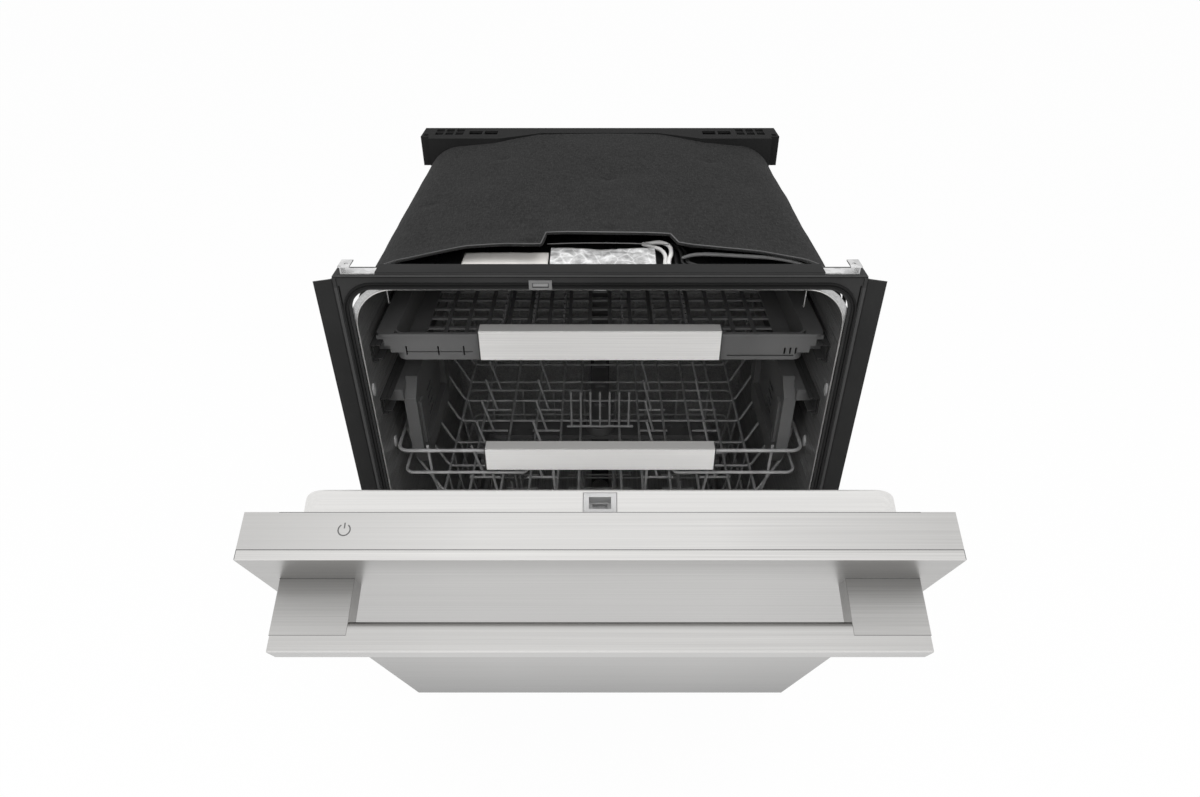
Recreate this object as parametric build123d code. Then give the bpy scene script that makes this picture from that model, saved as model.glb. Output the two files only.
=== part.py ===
from build123d import *
from math import cos, radians, sin
import os

# A built-in dishwasher with a top-control door. Millimetres, +Z up.
# x = 0 is the centre line, y = 0 the plane of the front frame, z = 0 the floor.
# The door side faces -Y. Nodes are written with the door standing part open.

# Door, given in its closed place
door_side_cover = 1.5       # door edge beyond the frame edge
door_top = 848.0
door_bottom = 108.0
door_face = -44.0           # outer face of the front panel
lip_depth = 8.7             # folded edge of the front panel
panel_skin = 1.2
console_back = -2.3
console_height = 32.7
console_skin = 1.5
liner_face = -3.0           # flat flange of the inner door
liner_skin = 2.0
plug_depth = 37.0           # raised part of the inner door
plug_half_width = 273.0
plug_top_drop = 36.0        # from the door top
plug_bottom = 188.0
plug_round = 5.0
pocket_depth = 16.0
pocket_border = 58.0
hinge_y = 19.0
hinge_z = 165.0
door_open = 26.4            # degrees from closed

# Handle
handle_top_drop = 55.0
handle_height = 23.0
handle_front = -107.0
handle_back = -80.6
handle_half_length = 282.5
handle_round = 6.0          # rear upper edge of the bar
bracket_inner = 217.0
bracket_front = -93.0

# Front frame and trims
frame_width = 600.0
frame_top = 842.0
frame_low = 200.0
side_border = 14.5
top_border = 19.0
frame_skin = 4.0
frame_return = 20.0
opening_round = 28.0
gasket_inset = 3.0
gasket_width = 6.0
gasket_seat = 2.5
gasket_stand = 1.9
cap_half_width = 251.0
cap_front = -1.5
cap_height = 3.5
trim_flare = 18.0
trim_low = 150.0

# Tub
tub_gap = 1.5               # tub wall inside the frame opening
tub_skin = 1.0
tub_depth = 526.0           # front plane to the inside of the back wall
tub_round = 50.0
ledge_z = 180.0             # shelf that the lower wheels roll on
basin_half_width = 243.0
basin_corner = 8.0
basin_floor = 152.0
deep_floor = 128.0
sump_y = 290.0
sump_radius = 56.0
sump_bottom = 60.0
hub_radius = 10.0
arm_pin_radius = 7.0
filter_radius = 20.0
lower_arm_span = 400.0

# Base and feet
base_bottom = 18.0
base_front = 56.0
base_top = 80.0
base_skin = 3.0
base_half_width = 296.5
base_side_front = 110.0
base_back_gap = 22.0        # base back wall behind the tub
leg_radius = 6.0
leg_x = 262.0
leg_front_y = 84.0
leg_back_inset = 30.0
pad_radius = 20.0
pad_height = 8.0
leg_top = 75.0
inlet_x = -218.0            # water supply, from behind
knockout_x = 224.0          # electric supply, from behind
supply_z = 47.0

# Rear brace and blanket
brace_depth = 62.0
brace_back_gap = 43.0
brace_height = 48.0
brace_top = 845.0
blanket_skin = 8.0
blanket_round = 66.0
blanket_low = 205.0
blanket_rise = 14.0         # shoulders above the tub's ceiling
blanket_crown = 12.0

# Racks
rack_front = 40.0           # handle faces when the racks are home
rack_back_gap = 29.0        # rack back to tub back
rail_height = 24.0
rail_width = 7.0
rail_skin = 1.2
rail_gap = 0.5
tray_drop = 82.0            # tray rim below the frame opening
tray_depth = 38.0
tray_rim_half = 278.0
tray_body_half = 257.0
tray_skin = 2.5
tray_lip = 8.5              # front edge of the rim, measured down
tray_handle_half = 150.0
upper_drop = 269.0          # upper rack rim below the frame opening
upper_height = 124.0
upper_half_width = 279.0
upper_handle_half = 157.5
upper_handle_height = 37.0
lower_clear = 80.0          # lower rim below the upper rack floor
lower_floor = 197.0
lower_half_width = 262.0
wheel_radius = 14.0
wheel_width = 10.0
wheel_x = 251.0
wire = 2.0
rim_wire = 2.5
running_gap = 0.3
pin_gap = 0.05
wide = 900.0                # beyond every piece, for cutting regions

# Worked out once from the sizes above
frame_half = frame_width / 2
door_half = frame_half + door_side_cover
opening_half = frame_half - side_border
opening_top = frame_top - top_border
tub_half = opening_half - tub_gap
tub_top = opening_top - 2.0
plug_back = liner_face + plug_depth
plug_top = door_top - plug_top_drop
latch_back = plug_back - 4.7
latch_y = plug_back - 14.0
console_low = door_top - console_height
liner_half = door_half - 4.5
handle_top = door_top - handle_top_drop
handle_low = handle_top - handle_height
brace_back = tub_depth + brace_back_gap
brace_front = brace_back - brace_depth
base_back = tub_depth + base_back_gap
leg_back_y = base_back - leg_back_inset
tray_rim = opening_top - tray_drop
tray_floor = tray_rim - tray_depth
upper_rim = opening_top - upper_drop
upper_floor = upper_rim - upper_height
lower_rim = upper_floor - lower_clear
rack_back = tub_depth - rack_back_gap
rail_back = rack_back - 10.0
blanket_top = tub_top + tub_skin + blanket_rise
blanket_half_width = tub_half + tub_skin + 0.5 + blanket_skin
arm_x = tub_half + 3.5      # inner face of the hinge arm
arm_skin = 3.0
spray_arm_z = deep_floor + 25.0
feed_z = upper_floor - 16.0
feed_port_z = feed_z + 8.0
wheel_axle_z = ledge_z + running_gap + wheel_radius


def block(x0, x1, y0, y1, z0, z1):
    """A box given by its lowest and highest corners."""
    centre = Vector((x0 + x1) / 2, (y0 + y1) / 2, (z0 + z1) / 2)
    return Pos(centre) * Box(abs(x1 - x0), abs(y1 - y0), abs(z1 - z0))


def rod(start, end, radius):
    """A round bar between two points."""
    run = Vector(*end) - Vector(*start)
    return Plane(origin=start, z_dir=run) * extrude(Circle(radius), run.length)


def bent_wire(points, radius, bend):
    """A round wire through the points, with a bend at each corner."""
    path = FilletPolyline(*points, radius=bend)
    return sweep(Plane(origin=path @ 0, z_dir=path % 0) * Circle(radius), path=path)


def both(part):
    """The part and its mirror image across the centre line."""
    return part + mirror(part, about=Plane.YZ)


def each_side(x_in, x_out, y0, y1, z0, z1):
    """The same block on both sides of the centre line, as two regions."""
    return [block(sign * x_in, sign * x_out, y0, y1, z0, z1) for sign in (-1, 1)]


def ring_regions(x, y0, y1, z0, z1):
    """Regions for the four walls and four corners that stand round a box."""
    regions = each_side(x, wide, y0, y1, z0, z1)
    for low, high in ((-wide, y0), (y1, wide)):
        regions.append(block(-x, x, low, high, z0, z1))
        regions += each_side(x, wide, low, high, z0, z1)
    return regions


def sectors(plane, start, end, count, length):
    """Wedges about a plane's origin, between two angles, with a length along its axis."""
    step = (end - start) / count
    wedges = []
    for i in range(count):
        a, b = radians(start + i * step), radians(start + (i + 1) * step)
        corners = [(0, 0), (wide * cos(a), wide * sin(a)), (wide * cos(b), wide * sin(b))]
        wedges.append(extrude(plane * make_face(Polyline(*corners, close=True)), length))
    return wedges


def corner_regions(x, z, y0, y1, count):
    """Fans of regions for the two upper corners, whose rounds are centred x out and z up."""
    fans = []
    for sign, start in ((1, -6.0), (-1, 84.0)):
        limit = block(sign * (x - 1), sign * wide, y0, y1, z - 1, wide)
        plane = Plane(origin=(sign * x, y0, z), x_dir=(1, 0, 0), z_dir=(0, -1, 0))
        fans += [limit & wedge for wedge in sectors(plane, start, start + 102.0, count, y0 - y1)]
    return fans


def in_pieces(part, regions):
    """The part as simpler solids, face to face: what lies in each region in turn, then the rest."""
    solids = []
    for region in regions:
        solids += (part & region).solids()
        part = part - region
    return Compound(solids + part.solids())


def side_plate(points, x0, x1):
    """A plate in a plane of constant x, from (y, z) corners."""
    face = make_face(Polyline(*[(x0, y, z) for y, z in points], close=True))
    return extrude(face, x1 - x0, dir=(1, 0, 0))


def front_plate(face, y0, y1):
    """A face drawn in x and z, given depth from y0 to y1."""
    plane = Plane(origin=(0, y0, 0), x_dir=(1, 0, 0), z_dir=(0, -1, 0))
    return extrude(plane * face, -(y1 - y0))


def rounded_mouth(half_width, low, top, radius):
    """A face in x and z with its two upper corners rounded."""
    corners = [(-half_width, low), (-half_width, top), (half_width, top), (half_width, low)]
    face = make_face(Polyline(*corners, close=True))
    upper = face.vertices().sort_by(Axis.Y)[-2:]
    return fillet(upper, radius)


def rounded_slab(half_width, z0, z1, y0, y1, corner, back_round):
    """A slab facing +Y with rounded corners and a rounded edge on its back face."""
    face = Pos(0, (z0 + z1) / 2) * RectangleRounded(2 * half_width, z1 - z0, corner)
    slab = front_plate(face, y0, y1)
    if back_round:
        edges = slab.faces().sort_by(Axis.Y)[-1].edges()
        slab = fillet(edges, back_round)
    return slab


def comb_teeth(start, end, pitch, tooth, base, top):
    """Corners of a comb: a strip with square teeth on its upper edge."""
    points = [(start, base)]
    count = int((end - start - tooth) / pitch)
    root = base + 0.4 * (top - base)
    for i in range(count + 1):
        left = start + i * pitch
        points += [(left, root), (left, top), (left + tooth, top), (left + tooth, root)]
    points += [(end, root), (end, base)]
    return points


# Tub and its fittings

def tub_outline(grow):
    """The tub's section: a wide body over a narrower basin with a shelf each side."""
    half = tub_half
    low = ledge_z
    corners = [(-half, low), (-half, tub_top), (half, tub_top), (half, low)]
    corners += [(basin_half_width, low), (basin_half_width, basin_floor)]
    corners += [(-basin_half_width, basin_floor), (-basin_half_width, low)]
    face = make_face(Polyline(*corners, close=True))
    face = fillet(face.vertices().sort_by(Axis.Y)[-2:], tub_round)
    face = fillet(face.vertices().sort_by(Axis.Y)[:2], basin_corner)
    if grow:
        face = offset(face, amount=grow)
    return face


def make_tub():
    front = frame_skin
    deep_width = 2 * (basin_half_width - basin_corner - 4.0)
    deep = Pos(0, (88.0 + tub_depth - 14.0) / 2) * RectangleRounded(deep_width, tub_depth - 102.0, 20.0)
    inner = front_plate(tub_outline(0), front - 1.0, tub_depth)
    inner += Pos(0, 0, deep_floor) * extrude(deep, basin_floor - deep_floor + 5.0)
    outer = front_plate(tub_outline(tub_skin), front, tub_depth + tub_skin)
    grown = offset(deep, amount=tub_skin)
    outer += Pos(0, 0, deep_floor - tub_skin) * extrude(grown, basin_floor - deep_floor)
    flange = front_plate(tub_outline(8.0), front, front + tub_skin)
    flange -= block(-frame_half, frame_half, 0, 20, 0, frame_low + 5.0)
    tub = outer + flange - inner
    tub -= rod((0, sump_y, deep_floor - 5.0), (0, sump_y, deep_floor + 5.0), sump_radius)
    side = tub_half - tub_round - 1.0
    arch = tub_top - tub_round - 1.0
    lip = frame_skin + 2.5
    back = tub_depth - 1.5
    low = ledge_z + 1.0
    sheets = [block(-wide, wide, back, back + 10, 0, wide)]
    for y0, y1 in ((0, lip), (lip, back)):
        sheets.append(block(-side, side, y0, y1, arch, wide))
        sheets += corner_regions(side + 1, arch + 1, y0, y1, 5)
        sheets += each_side(side, wide, y0, y1, low, arch)
    step = basin_floor - 1.6
    shelf = ledge_z - 1.6
    x = deep_width / 2 - 21.0
    sheets += sectors(Plane(origin=(0, sump_y, 0)), 0, 360, 12, deep_floor + 0.6)
    for z0, z1 in ((deep_floor + 0.6, step), (step, basin_floor + 0.6)):
        sheets += ring_regions(x, 109.0, tub_depth - 35.0, z0, z1)
    sheets += each_side(x, wide, 0, back, basin_floor + 0.6, shelf)
    return in_pieces(tub, sheets)


def make_bottom_seal():
    half = basin_half_width - 12.0
    strip = block(-half, half, 6.0, 22.0, basin_floor, basin_floor + 4.0)
    return strip - block(-half + 3, half - 3, 10.0, 18.0, basin_floor + 1.5, basin_floor + 6)


def gasket_ring(inner, outer, y0, y1):
    """A band that follows the frame opening, between two offsets from its edge."""
    wide = rounded_mouth(opening_half + outer, frame_low, opening_top + outer, opening_round + outer)
    slim = rounded_mouth(opening_half + inner, frame_low - 1, opening_top + inner, opening_round + inner)
    return front_plate(wide, y0, y1) - front_plate(slim, y0 - 1, y1 + 1)


def make_front_frame():
    edge = rounded_mouth(frame_half, frame_low, frame_top, 3.0)
    mouth = rounded_mouth(opening_half, frame_low - 1, opening_top, opening_round)
    plate = front_plate(edge, 0, frame_skin) - front_plate(mouth, -1, frame_skin + 1)
    inside = rounded_mouth(frame_half - 2.5, frame_low - 1, frame_top - 2.5, 2.0)
    rim = front_plate(edge, frame_skin, frame_return) - front_plate(inside, 0, frame_return + 1)
    bead_inside = rounded_mouth(frame_half - 3.5, frame_low - 1, frame_top - 3.5, 2.0)
    bead = front_plate(edge, -1.2, 0) - front_plate(bead_inside, -3, 1)
    frame = plate + rim + bead
    groove_end = gasket_inset + gasket_width
    frame -= gasket_ring(gasket_inset, groove_end, -2.0, gasket_seat)
    cap = block(-cap_half_width, cap_half_width, cap_front, frame_return, frame_top, frame_top + cap_height)
    turn = opening_half - opening_round
    bend = opening_top - opening_round
    bars = [block(-turn + 1, turn - 1, -wide, wide, bend - 1, wide)]
    bars += corner_regions(turn, bend, -20.0, 60.0, 3)
    return in_pieces(frame + cap, bars)


def make_tub_gasket():
    ring = gasket_ring(gasket_inset, gasket_inset + gasket_width, -gasket_stand, gasket_seat)
    middle = gasket_inset + gasket_width / 2
    ring -= gasket_ring(middle - 0.8, middle + 0.8, -gasket_stand - 1, -gasket_stand + 1.4)
    return ring - block(-81.0, -53.0, -gasket_stand - 1, 0.0, opening_top - 1, opening_top + 20)


def make_side_trim():
    """Flared strip that covers the gap between the frame and the cabinet."""
    a = frame_half
    b = a + 2.0
    tip = a + trim_flare + 2.0
    corners = [(a, 12), (a, 0.5), (b, -0.6), (tip, -6.5), (tip + 0.8, -4.8), (b + 1.4, 1.2), (b, 2.2), (b, 12)]
    face = make_face(Polyline(*corners, close=True))
    return Pos(0, 0, trim_low) * extrude(face, frame_top - 6.0 - trim_low)


def make_worktop_brackets():
    strip = block(252.0, 290.0, 0.5, 14.0, frame_top, frame_top + 1.6)
    riser = block(288.4, 290.0, 0.5, 14.0, frame_top, frame_top + 12.0)
    tab = block(277.0, 290.0, -5.0, 14.0, frame_top + 10.4, frame_top + 12.0)
    hole = rod((282.5, 3.0, frame_top + 5.0), (282.5, 3.0, frame_top + 20.0), 2.2)
    return both(strip + riser + tab - hole)


def make_door_pusher():
    body = block(-80.0, -54.0, -2.0, 0.0, opening_top + 1.0, opening_top + 12.0)
    return body - block(-76.0, -58.0, -3.0, -0.8, opening_top + 4.0, opening_top + 9.0)


def make_latch_strike():
    """A hooked plate under the top of the frame that the latch holds."""
    y = latch_y
    foot = block(-16.0, 16.0, y - 11, y + 8, tub_top - 1.6, tub_top)
    hook = block(-7.0, 7.0, y - 4, y + 4, tub_top - 7.0, tub_top - 1.6)
    return foot + hook - rod((-10, y, tub_top - 4.0), (10, y, tub_top - 4.0), 1.6)


def make_insulation_blanket():
    half = blanket_half_width
    shoulder = blanket_top
    crown = shoulder + blanket_crown

    def arch(inset):
        w = half - inset
        r = blanket_round - inset
        z = shoulder - inset
        side = Line((w, blanket_low), (w, z - r))
        corner = CenterArc((w - r, z - r), r, 0, 90)
        crest = ThreePointArc((w - r, z), (0, crown - inset), (r - w, z))
        other = CenterArc((r - w, z - r), r, 90, 90)
        side2 = Line((-w, z - r), (-w, blanket_low))
        base = Line((-w, blanket_low), (w, blanket_low))
        return make_face([side, corner, crest, other, side2, base])

    back = brace_back - 33.0
    shell = front_plate(arch(0), 30.0, back) - front_plate(arch(blanket_skin), 20.0, back + 5)
    shell -= block(-half, half, 0, back + 5, blanket_low - 1, blanket_low + 0.5)
    front = [(-310, 0), (310, 0), (310, 30), (250, 36), (105, 54), (86, 66), (86, 98), (-66, 98)]
    front += [(-66, 66), (-250, 34), (-310, 30)]
    cut = Pos(0, 0, blanket_low) * extrude(make_face(Polyline(*front, close=True)), 800)
    side = brace_front - 3.0
    rear = [(-310, side), (-172, side), (-104, back - 1), (104, back - 1), (172, side), (310, side)]
    rear += [(310, back + 20), (-310, back + 20)]
    cut += Pos(0, 0, blanket_low) * extrude(make_face(Polyline(*rear, close=True)), 800)
    turn = half - blanket_round - 1.0
    arch_low = shoulder - blanket_round - 1.0
    panels = each_side(turn, wide, 0, wide, arch_low, wide) + each_side(turn, wide, 0, wide, 0, arch_low)
    return in_pieces(shell - cut, panels)


def make_rear_brace():
    """Moulded beam across the back, arched over the blanket, with end tabs and grilles."""
    a = frame_half - 1.0
    front = brace_front
    outline = [(-a, front + 11), (-a + 14, front + 11), (-a + 14, front), (-167, front)]
    outline += [(-98, front + 32), (98, front + 32), (167, front), (a - 14, front)]
    outline += [(a - 14, front + 11), (a, front + 11), (a, brace_back), (-a, brace_back)]
    low = brace_top - brace_height
    face = make_face(Polyline(*outline, close=True))
    beam = Pos(0, 0, low) * extrude(face, brace_height)
    core = Pos(0, 0, low - 1) * extrude(offset(face, amount=-3.0), brace_height - 3.0)
    arch = [(-a + 12, low - 5), (-a + 16, low + 4), (-a + 60, low + 32), (a - 60, low + 32)]
    arch += [(a - 16, low + 4), (a - 12, low - 5)]
    under = make_face(Polyline(*arch, close=True))
    beam = beam - core - front_plate(under, front - 5, brace_back + 5)
    for side in (-1, 1):
        for row in range(2):
            for col in range(3):
                x = side * (237.0 + col * 17.0)
                y = brace_back - 33.0 + row * 18.0
                beam -= block(x - 6.5, x + 6.5, y - 7, y + 7, brace_top - 6, brace_top + 1)
        for col in range(2):
            x = side * (184.0 + col * 26.0)
            y = brace_back - 28.0
            beam -= block(x - 11, x + 11, y - 10, y + 10, brace_top - 6, brace_top + 1)
        beam -= block(side * (a - 11), side * (a - 4), front + 16, front + 26, brace_top - 8, brace_top + 1)
        lug_back = brace_back - 2.0
        beam += block(side * 205, side * 245, tub_depth + tub_skin, lug_back, low + 4, low + 24)
        beam += block(side * 205, side * 245, lug_back - 6, lug_back, low + 4, brace_top - 3)
    return beam


def make_document_pouch():
    top = tub_top + tub_skin
    card = block(-167.0, -63.0, 30.0, 112.0, top + running_gap, top + 2.5)
    film = block(-60.0, 60.0, 34.0, 92.0, top + running_gap, top + 9.0)
    return card + film


def make_wiring_harness():
    top = tub_top + tub_skin
    side = tub_half + tub_skin + 4.2
    black = [(84, 96, top + 3.2), (96, 62, top + 3.2), (150, 27, top + 4), (254, 27, top + 10)]
    black += [(side, 27, top - 30), (side, 27, 225)]
    white = [(68, 94, top + 3.2), (80, 60, top + 3.2), (120, 34, top + 3.2), (240, 33.5, top + 3.2)]
    return bent_wire(black, 2.4, 12.0) + bent_wire(white, 2.4, 10.0)


# Water path

def make_sump():
    cup = rod((0, sump_y, sump_bottom), (0, sump_y, deep_floor - tub_skin), sump_radius + 4)
    cup += rod((0, sump_y, deep_floor - tub_skin - 3), (0, sump_y, deep_floor - tub_skin), sump_radius + 18)
    cup -= rod((0, sump_y, sump_bottom + 4), (0, sump_y, deep_floor), sump_radius)
    port = sump_radius + 12
    cup += rod((-port, sump_y, 84.0), (-sump_radius - 1, sump_y, 84.0), 16.0)
    cup += rod((sump_radius + 1, sump_y, 84.0), (port, sump_y, 84.0), 13.0)
    hub = rod((0, sump_y, sump_bottom), (0, sump_y, spray_arm_z - running_gap), hub_radius)
    hub += rod((0, sump_y, sump_bottom), (0, sump_y, spray_arm_z + 8), arm_pin_radius)
    return cup + hub


def make_filter_screen():
    plate = rod((0, sump_y, deep_floor), (0, sump_y, deep_floor + 1.5), sump_radius + 14)
    plate -= rod((0, sump_y, deep_floor - 1), (0, sump_y, deep_floor + 3), hub_radius + 0.4)
    cup_x, cup_y = filter_place()
    plate -= rod((cup_x, cup_y, deep_floor - 1), (cup_x, cup_y, deep_floor + 3), filter_radius + 0.4)
    holes = Part()
    for ring, count in ((46.0, 30), (54.0, 36), (62.0, 42)):
        for i in range(count):
            angle = radians(i * 360 / count)
            x = ring * cos(angle)
            y = sump_y + ring * sin(angle)
            if (x - cup_x) ** 2 + (y - cup_y) ** 2 > 27.0 ** 2:
                holes += Pos(x, y, deep_floor + 0.75) * Box(3.0, 3.0, 3.0)
    return plate - holes


def filter_place():
    return 30.0, sump_y - 15.0


def make_filter_cup():
    x, y = filter_place()
    cup = rod((x, y, 72.0), (x, y, deep_floor + 5.5), filter_radius)
    cup += rod((x, y, deep_floor + 1.5 + running_gap), (x, y, deep_floor + 5.5), filter_radius + 2.5)
    cup -= rod((x, y, 74.0), (x, y, deep_floor + 9), filter_radius - 2.5)
    cup += block(x - 17.8, x + 17.8, y - 2.5, y + 2.5, deep_floor + 1, deep_floor + 12)
    return cup


def make_lower_spray_arm():
    z = spray_arm_z
    blade = Pos(0, sump_y, z) * extrude(RectangleRounded(lower_arm_span, 46.0, 22.0), 12.0)
    blade = fillet(blade.faces().sort_by(Axis.Z)[-1].edges(), 3.0)
    blade += Pos(0, sump_y, z) * extrude(Rot(0, 0, 90) * RectangleRounded(300.0, 34.0, 16.0), 8.0)
    blade -= rod((0, sump_y, z - 1), (0, sump_y, z + 8.5), arm_pin_radius + pin_gap)
    for i in range(6):
        x = 56.0 + i * 24.0
        blade -= Pos(x, sump_y + 6, z + 12) * Box(7.0, 2.6, 4.0)
        blade -= Pos(-x, sump_y - 6, z + 12) * Box(7.0, 2.6, 4.0)
    return blade


def make_spray_conduit():
    """Flat duct from the basin up the back wall and forward under the ceiling."""
    back = tub_depth
    step = back - 18.0
    duct = block(-18, 18, sump_y + 72, step, deep_floor, deep_floor + 12)
    duct += block(-18, 18, step - 12, step, deep_floor, basin_floor + 12)
    duct += block(-18, 18, step - 12, back, basin_floor, basin_floor + 12)
    duct += block(-18, 18, back - 13, back, basin_floor, tub_top)
    duct += block(-15, 15, sump_y + 10, back, tub_top - 12, tub_top)
    for z in (feed_port_z, feed_port_z - 50):
        duct += rod((0, rack_back + 3, z), (0, back - 12, z), 13.0)
    return duct


def make_top_nozzle():
    head = rod((0, sump_y + 34, tub_top - 20), (0, sump_y + 34, tub_top - 12), 24.0)
    for i in range(6):
        angle = radians(i * 60)
        x = 15 * cos(angle)
        y = sump_y + 34 + 15 * sin(angle)
        head -= rod((x, y, tub_top - 21), (x, y, tub_top - 17), 2.0)
    return head


def make_circulation_pump():
    face = -(sump_radius + 12)
    pump = rod((face - 26, sump_y, 84), (face, sump_y, 84), 40.0)
    pump += rod((face - 128, sump_y, 84), (face - 26, sump_y, 84), 34.0)
    pump -= rod((face - 6, sump_y, 84), (face + 1, sump_y, 84), 12.0)
    for i in range(8):
        x = face - 40 - i * 10
        band = rod((x - 3, sump_y, 84), (x, sump_y, 84), 36.0)
        pump += band
    pump += block(face - 110, face - 50, sump_y - 16, sump_y + 16, base_bottom + base_skin, 60)
    return pump


def make_drain_pump():
    face = sump_radius + 12
    pump = rod((face, sump_y, 84), (face + 30, sump_y, 84), 26.0)
    pump += rod((face + 30, sump_y, 84), (face + 62, sump_y, 84), 20.0)
    pump -= rod((face - 1, sump_y, 84), (face + 5, sump_y, 84), 10.0)
    x = face + 16
    end = base_back + 20
    pump += rod((x, sump_y, 84), (x, base_back + 1.5, 84), 8.0)
    pump += rod((x, base_back + 1.5, 84), (x, base_back + 4.5, 84), 12.0)
    pump += rod((x, base_back + 4.5, 84), (x, end, 84), 9.0)
    pump -= rod((x, sump_y + 30, 84), (x, end + 1, 84), 6.0)
    pump += block(x - 12, x + 12, sump_y - 10, sump_y + 10, base_bottom + base_skin, 62)
    return pump


def make_inlet_valve():
    x = inlet_x
    body = block(x - 20, x + 20, 108, 150, base_bottom + base_skin, 66)
    body += rod((x, 130, 64), (x, 130, 86), 13.0)
    body += rod((x, 148, supply_z), (x, 168, supply_z), 10.0)
    return body - rod((x, 140, supply_z), (x, 170, supply_z), 6.0)


def make_junction_box():
    low = base_bottom + base_skin
    x = knockout_x
    box = block(x - 38, x + 38, 116, 172, low, low + 52)
    box -= block(x - 36, x + 36, 118, 170, low + 2, low + 50)
    box -= rod((x, 169.9, supply_z), (x, 178, supply_z), 11.1)
    plates = [block(0, wide, 0, wide, 0, low + 2.5), block(0, wide, 0, wide, low + 49.5, wide)]
    plates += [block(0, x - 35.5, 0, wide, 0, wide), block(x + 35.5, wide, 0, wide, 0, wide)]
    plates.append(block(0, wide, 0, 118.5, 0, wide))
    return in_pieces(box, plates)


# Base, feet and hinges

def make_base_pan():
    low = base_bottom
    half = base_half_width
    t = base_skin
    pan = block(-half, half, base_front, base_back, low, base_top)
    pan -= block(-half + t, half - t, base_front + t, base_back - t, low + t, base_top + 1)
    floor_under_tub = ledge_z - tub_skin
    for side in (-1, 1):
        outer = side * half
        inner = side * (half - t)
        pan += block(outer, inner, base_side_front, base_back, low, floor_under_tub)
        shelf = side * (basin_half_width + 27)
        pan += block(outer, shelf, base_side_front, base_back, floor_under_tub - t, floor_under_tub)
        for y in (leg_front_y, leg_back_y):
            pan += rod((side * leg_x, y, low), (side * leg_x, y, base_top - 20), 12.0)
            pan -= rod((side * leg_x, y, low - 1), (side * leg_x, y, base_top), leg_radius + pin_gap)
    pan += block(-half, half, base_back - t, base_back, low, deep_floor - 10)
    drain_x = sump_radius + 28
    pan -= rod((drain_x, base_back - 10, 84), (drain_x, base_back + 10, 84), 8.6)
    hole = 15.0
    for x in (inlet_x, knockout_x):
        pan -= block(x - hole, x + hole, base_back - 10, base_back + 10, supply_z - hole, supply_z + hole)
    for y in (160.0, tub_depth - 60.0):
        post = block(-150, -120, y, y + 20, low, deep_floor - tub_skin)
        pan += post + mirror(post, about=Plane.YZ)
    inner = base_back - t - 0.5
    strips = [block(x - 14.5, x + 14.5, inner, wide, 0, wide) for x in (inlet_x, knockout_x)]
    strips.append(block(-wide, wide, inner, wide, 0, wide))
    return in_pieces(pan, strips)


def make_access_panel():
    plate = block(-base_half_width, base_half_width, base_front - 2, base_front, base_bottom - 4, base_top + 2)
    for i in range(9):
        x = -120 + i * 30
        plate -= block(x - 11, x + 11, base_front - 5, base_front + 5, 60, 63)
    return plate


def make_leg(x, y):
    pad = rod((x, y, 0), (x, y, pad_height), pad_radius)
    pad = chamfer(pad.faces().sort_by(Axis.Z)[-1].edges(), 2.0)
    nut = Pos(x, y, pad_height) * extrude(RegularPolygon(11.0, 6), 7.0)
    return pad + nut + rod((x, y, pad_height), (x, y, leg_top), leg_radius)


def make_hinge_mounts():
    x = base_half_width
    y, z = hinge_y, hinge_z
    back = base_side_front + 52
    corners = [(y - 2, z - 13), (y - 2, z + 13), (back, z + 13), (back, 62)]
    corners += [(base_side_front + 2, 62), (base_side_front + 2, z - 13)]
    plate = side_plate(corners, x, x + arm_skin)
    plate += rod((x, y, z), (x + arm_skin, y, z), 14.0)
    for bolt_z in (80.0, 120.0):
        plate += rod((x + arm_skin, back - 24, bolt_z), (x + arm_skin + 2, back - 24, bolt_z), 6.0)
    pin = rod((arm_x - 1, y, z), (x, y, z), 5.0 - pin_gap)
    pin += rod((arm_x + arm_skin + running_gap, y, z), (x, y, z), 7.0)
    pin += rod((arm_x - 2.2, y, z), (arm_x - running_gap, y, z), 6.5)
    return both(plate + pin)


def make_hinge_arms():
    """Steel arms in the door's sides: a long leg, a pivot eye and a tail for the spring."""
    y, z = hinge_y, hinge_z
    leg = [(-33, 122), (-9, 122), (-9, z - 12), (y, z - 13), (y + 12, z), (y + 8, z + 24)]
    leg += [(y + 5, z + 30), (y - 6, z + 30), (y - 10, z + 18), (-9, z + 17), (-9, 340), (-33, 340)]
    arm = side_plate(leg, arm_x, arm_x + arm_skin)
    arm += rod((arm_x, y, z), (arm_x + arm_skin, y, z), 13.0)
    arm -= rod((arm_x - 1, y, z), (arm_x + 4, y, z), 5.0)
    pin_x = arm_x + arm_skin
    arm += block(arm_x - 3, pin_x, -11, liner_face - liner_skin - running_gap, 215, 330)
    arm += rod((pin_x, y, z + 24), (pin_x + 3.4, y, z + 24), 2.5)
    return both(arm)


def door_point(y, z):
    """Where a point of the closed door stands when the door is part open."""
    a = radians(door_open)
    dy = y - hinge_y
    dz = z - hinge_z
    return hinge_y + dy * cos(a) - dz * sin(a), hinge_z + dy * sin(a) + dz * cos(a)


def make_door_springs():
    """Each side: a link from the hinge arm's tail and the spring that balances the door."""
    start_y, start_z = door_point(hinge_y, hinge_z + 24)
    x = arm_x + arm_skin + 1.7
    wall = base_half_width - base_skin
    start = Vector(x, start_y, start_z)
    end = Vector(wall - 17.5, 330.0, 50.0)
    run = (end - start).normalized()
    eye = rod((x - 1.3, start_y, start_z), (x + 1.3, start_y, start_z), 6.0)
    eye -= rod((x - 2, start_y, start_z), (x + 2, start_y, start_z), 3.0)
    link = rod(tuple(start + run * 4.5), tuple(end), 1.0)
    coil = rod(tuple(start + run * 140), tuple(start + run * 290), 6.0)
    post = rod((end.X - 5, end.Y, end.Z), (wall, end.Y, end.Z), 3.0)
    return both(eye + link + coil + post)


# Door

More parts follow.
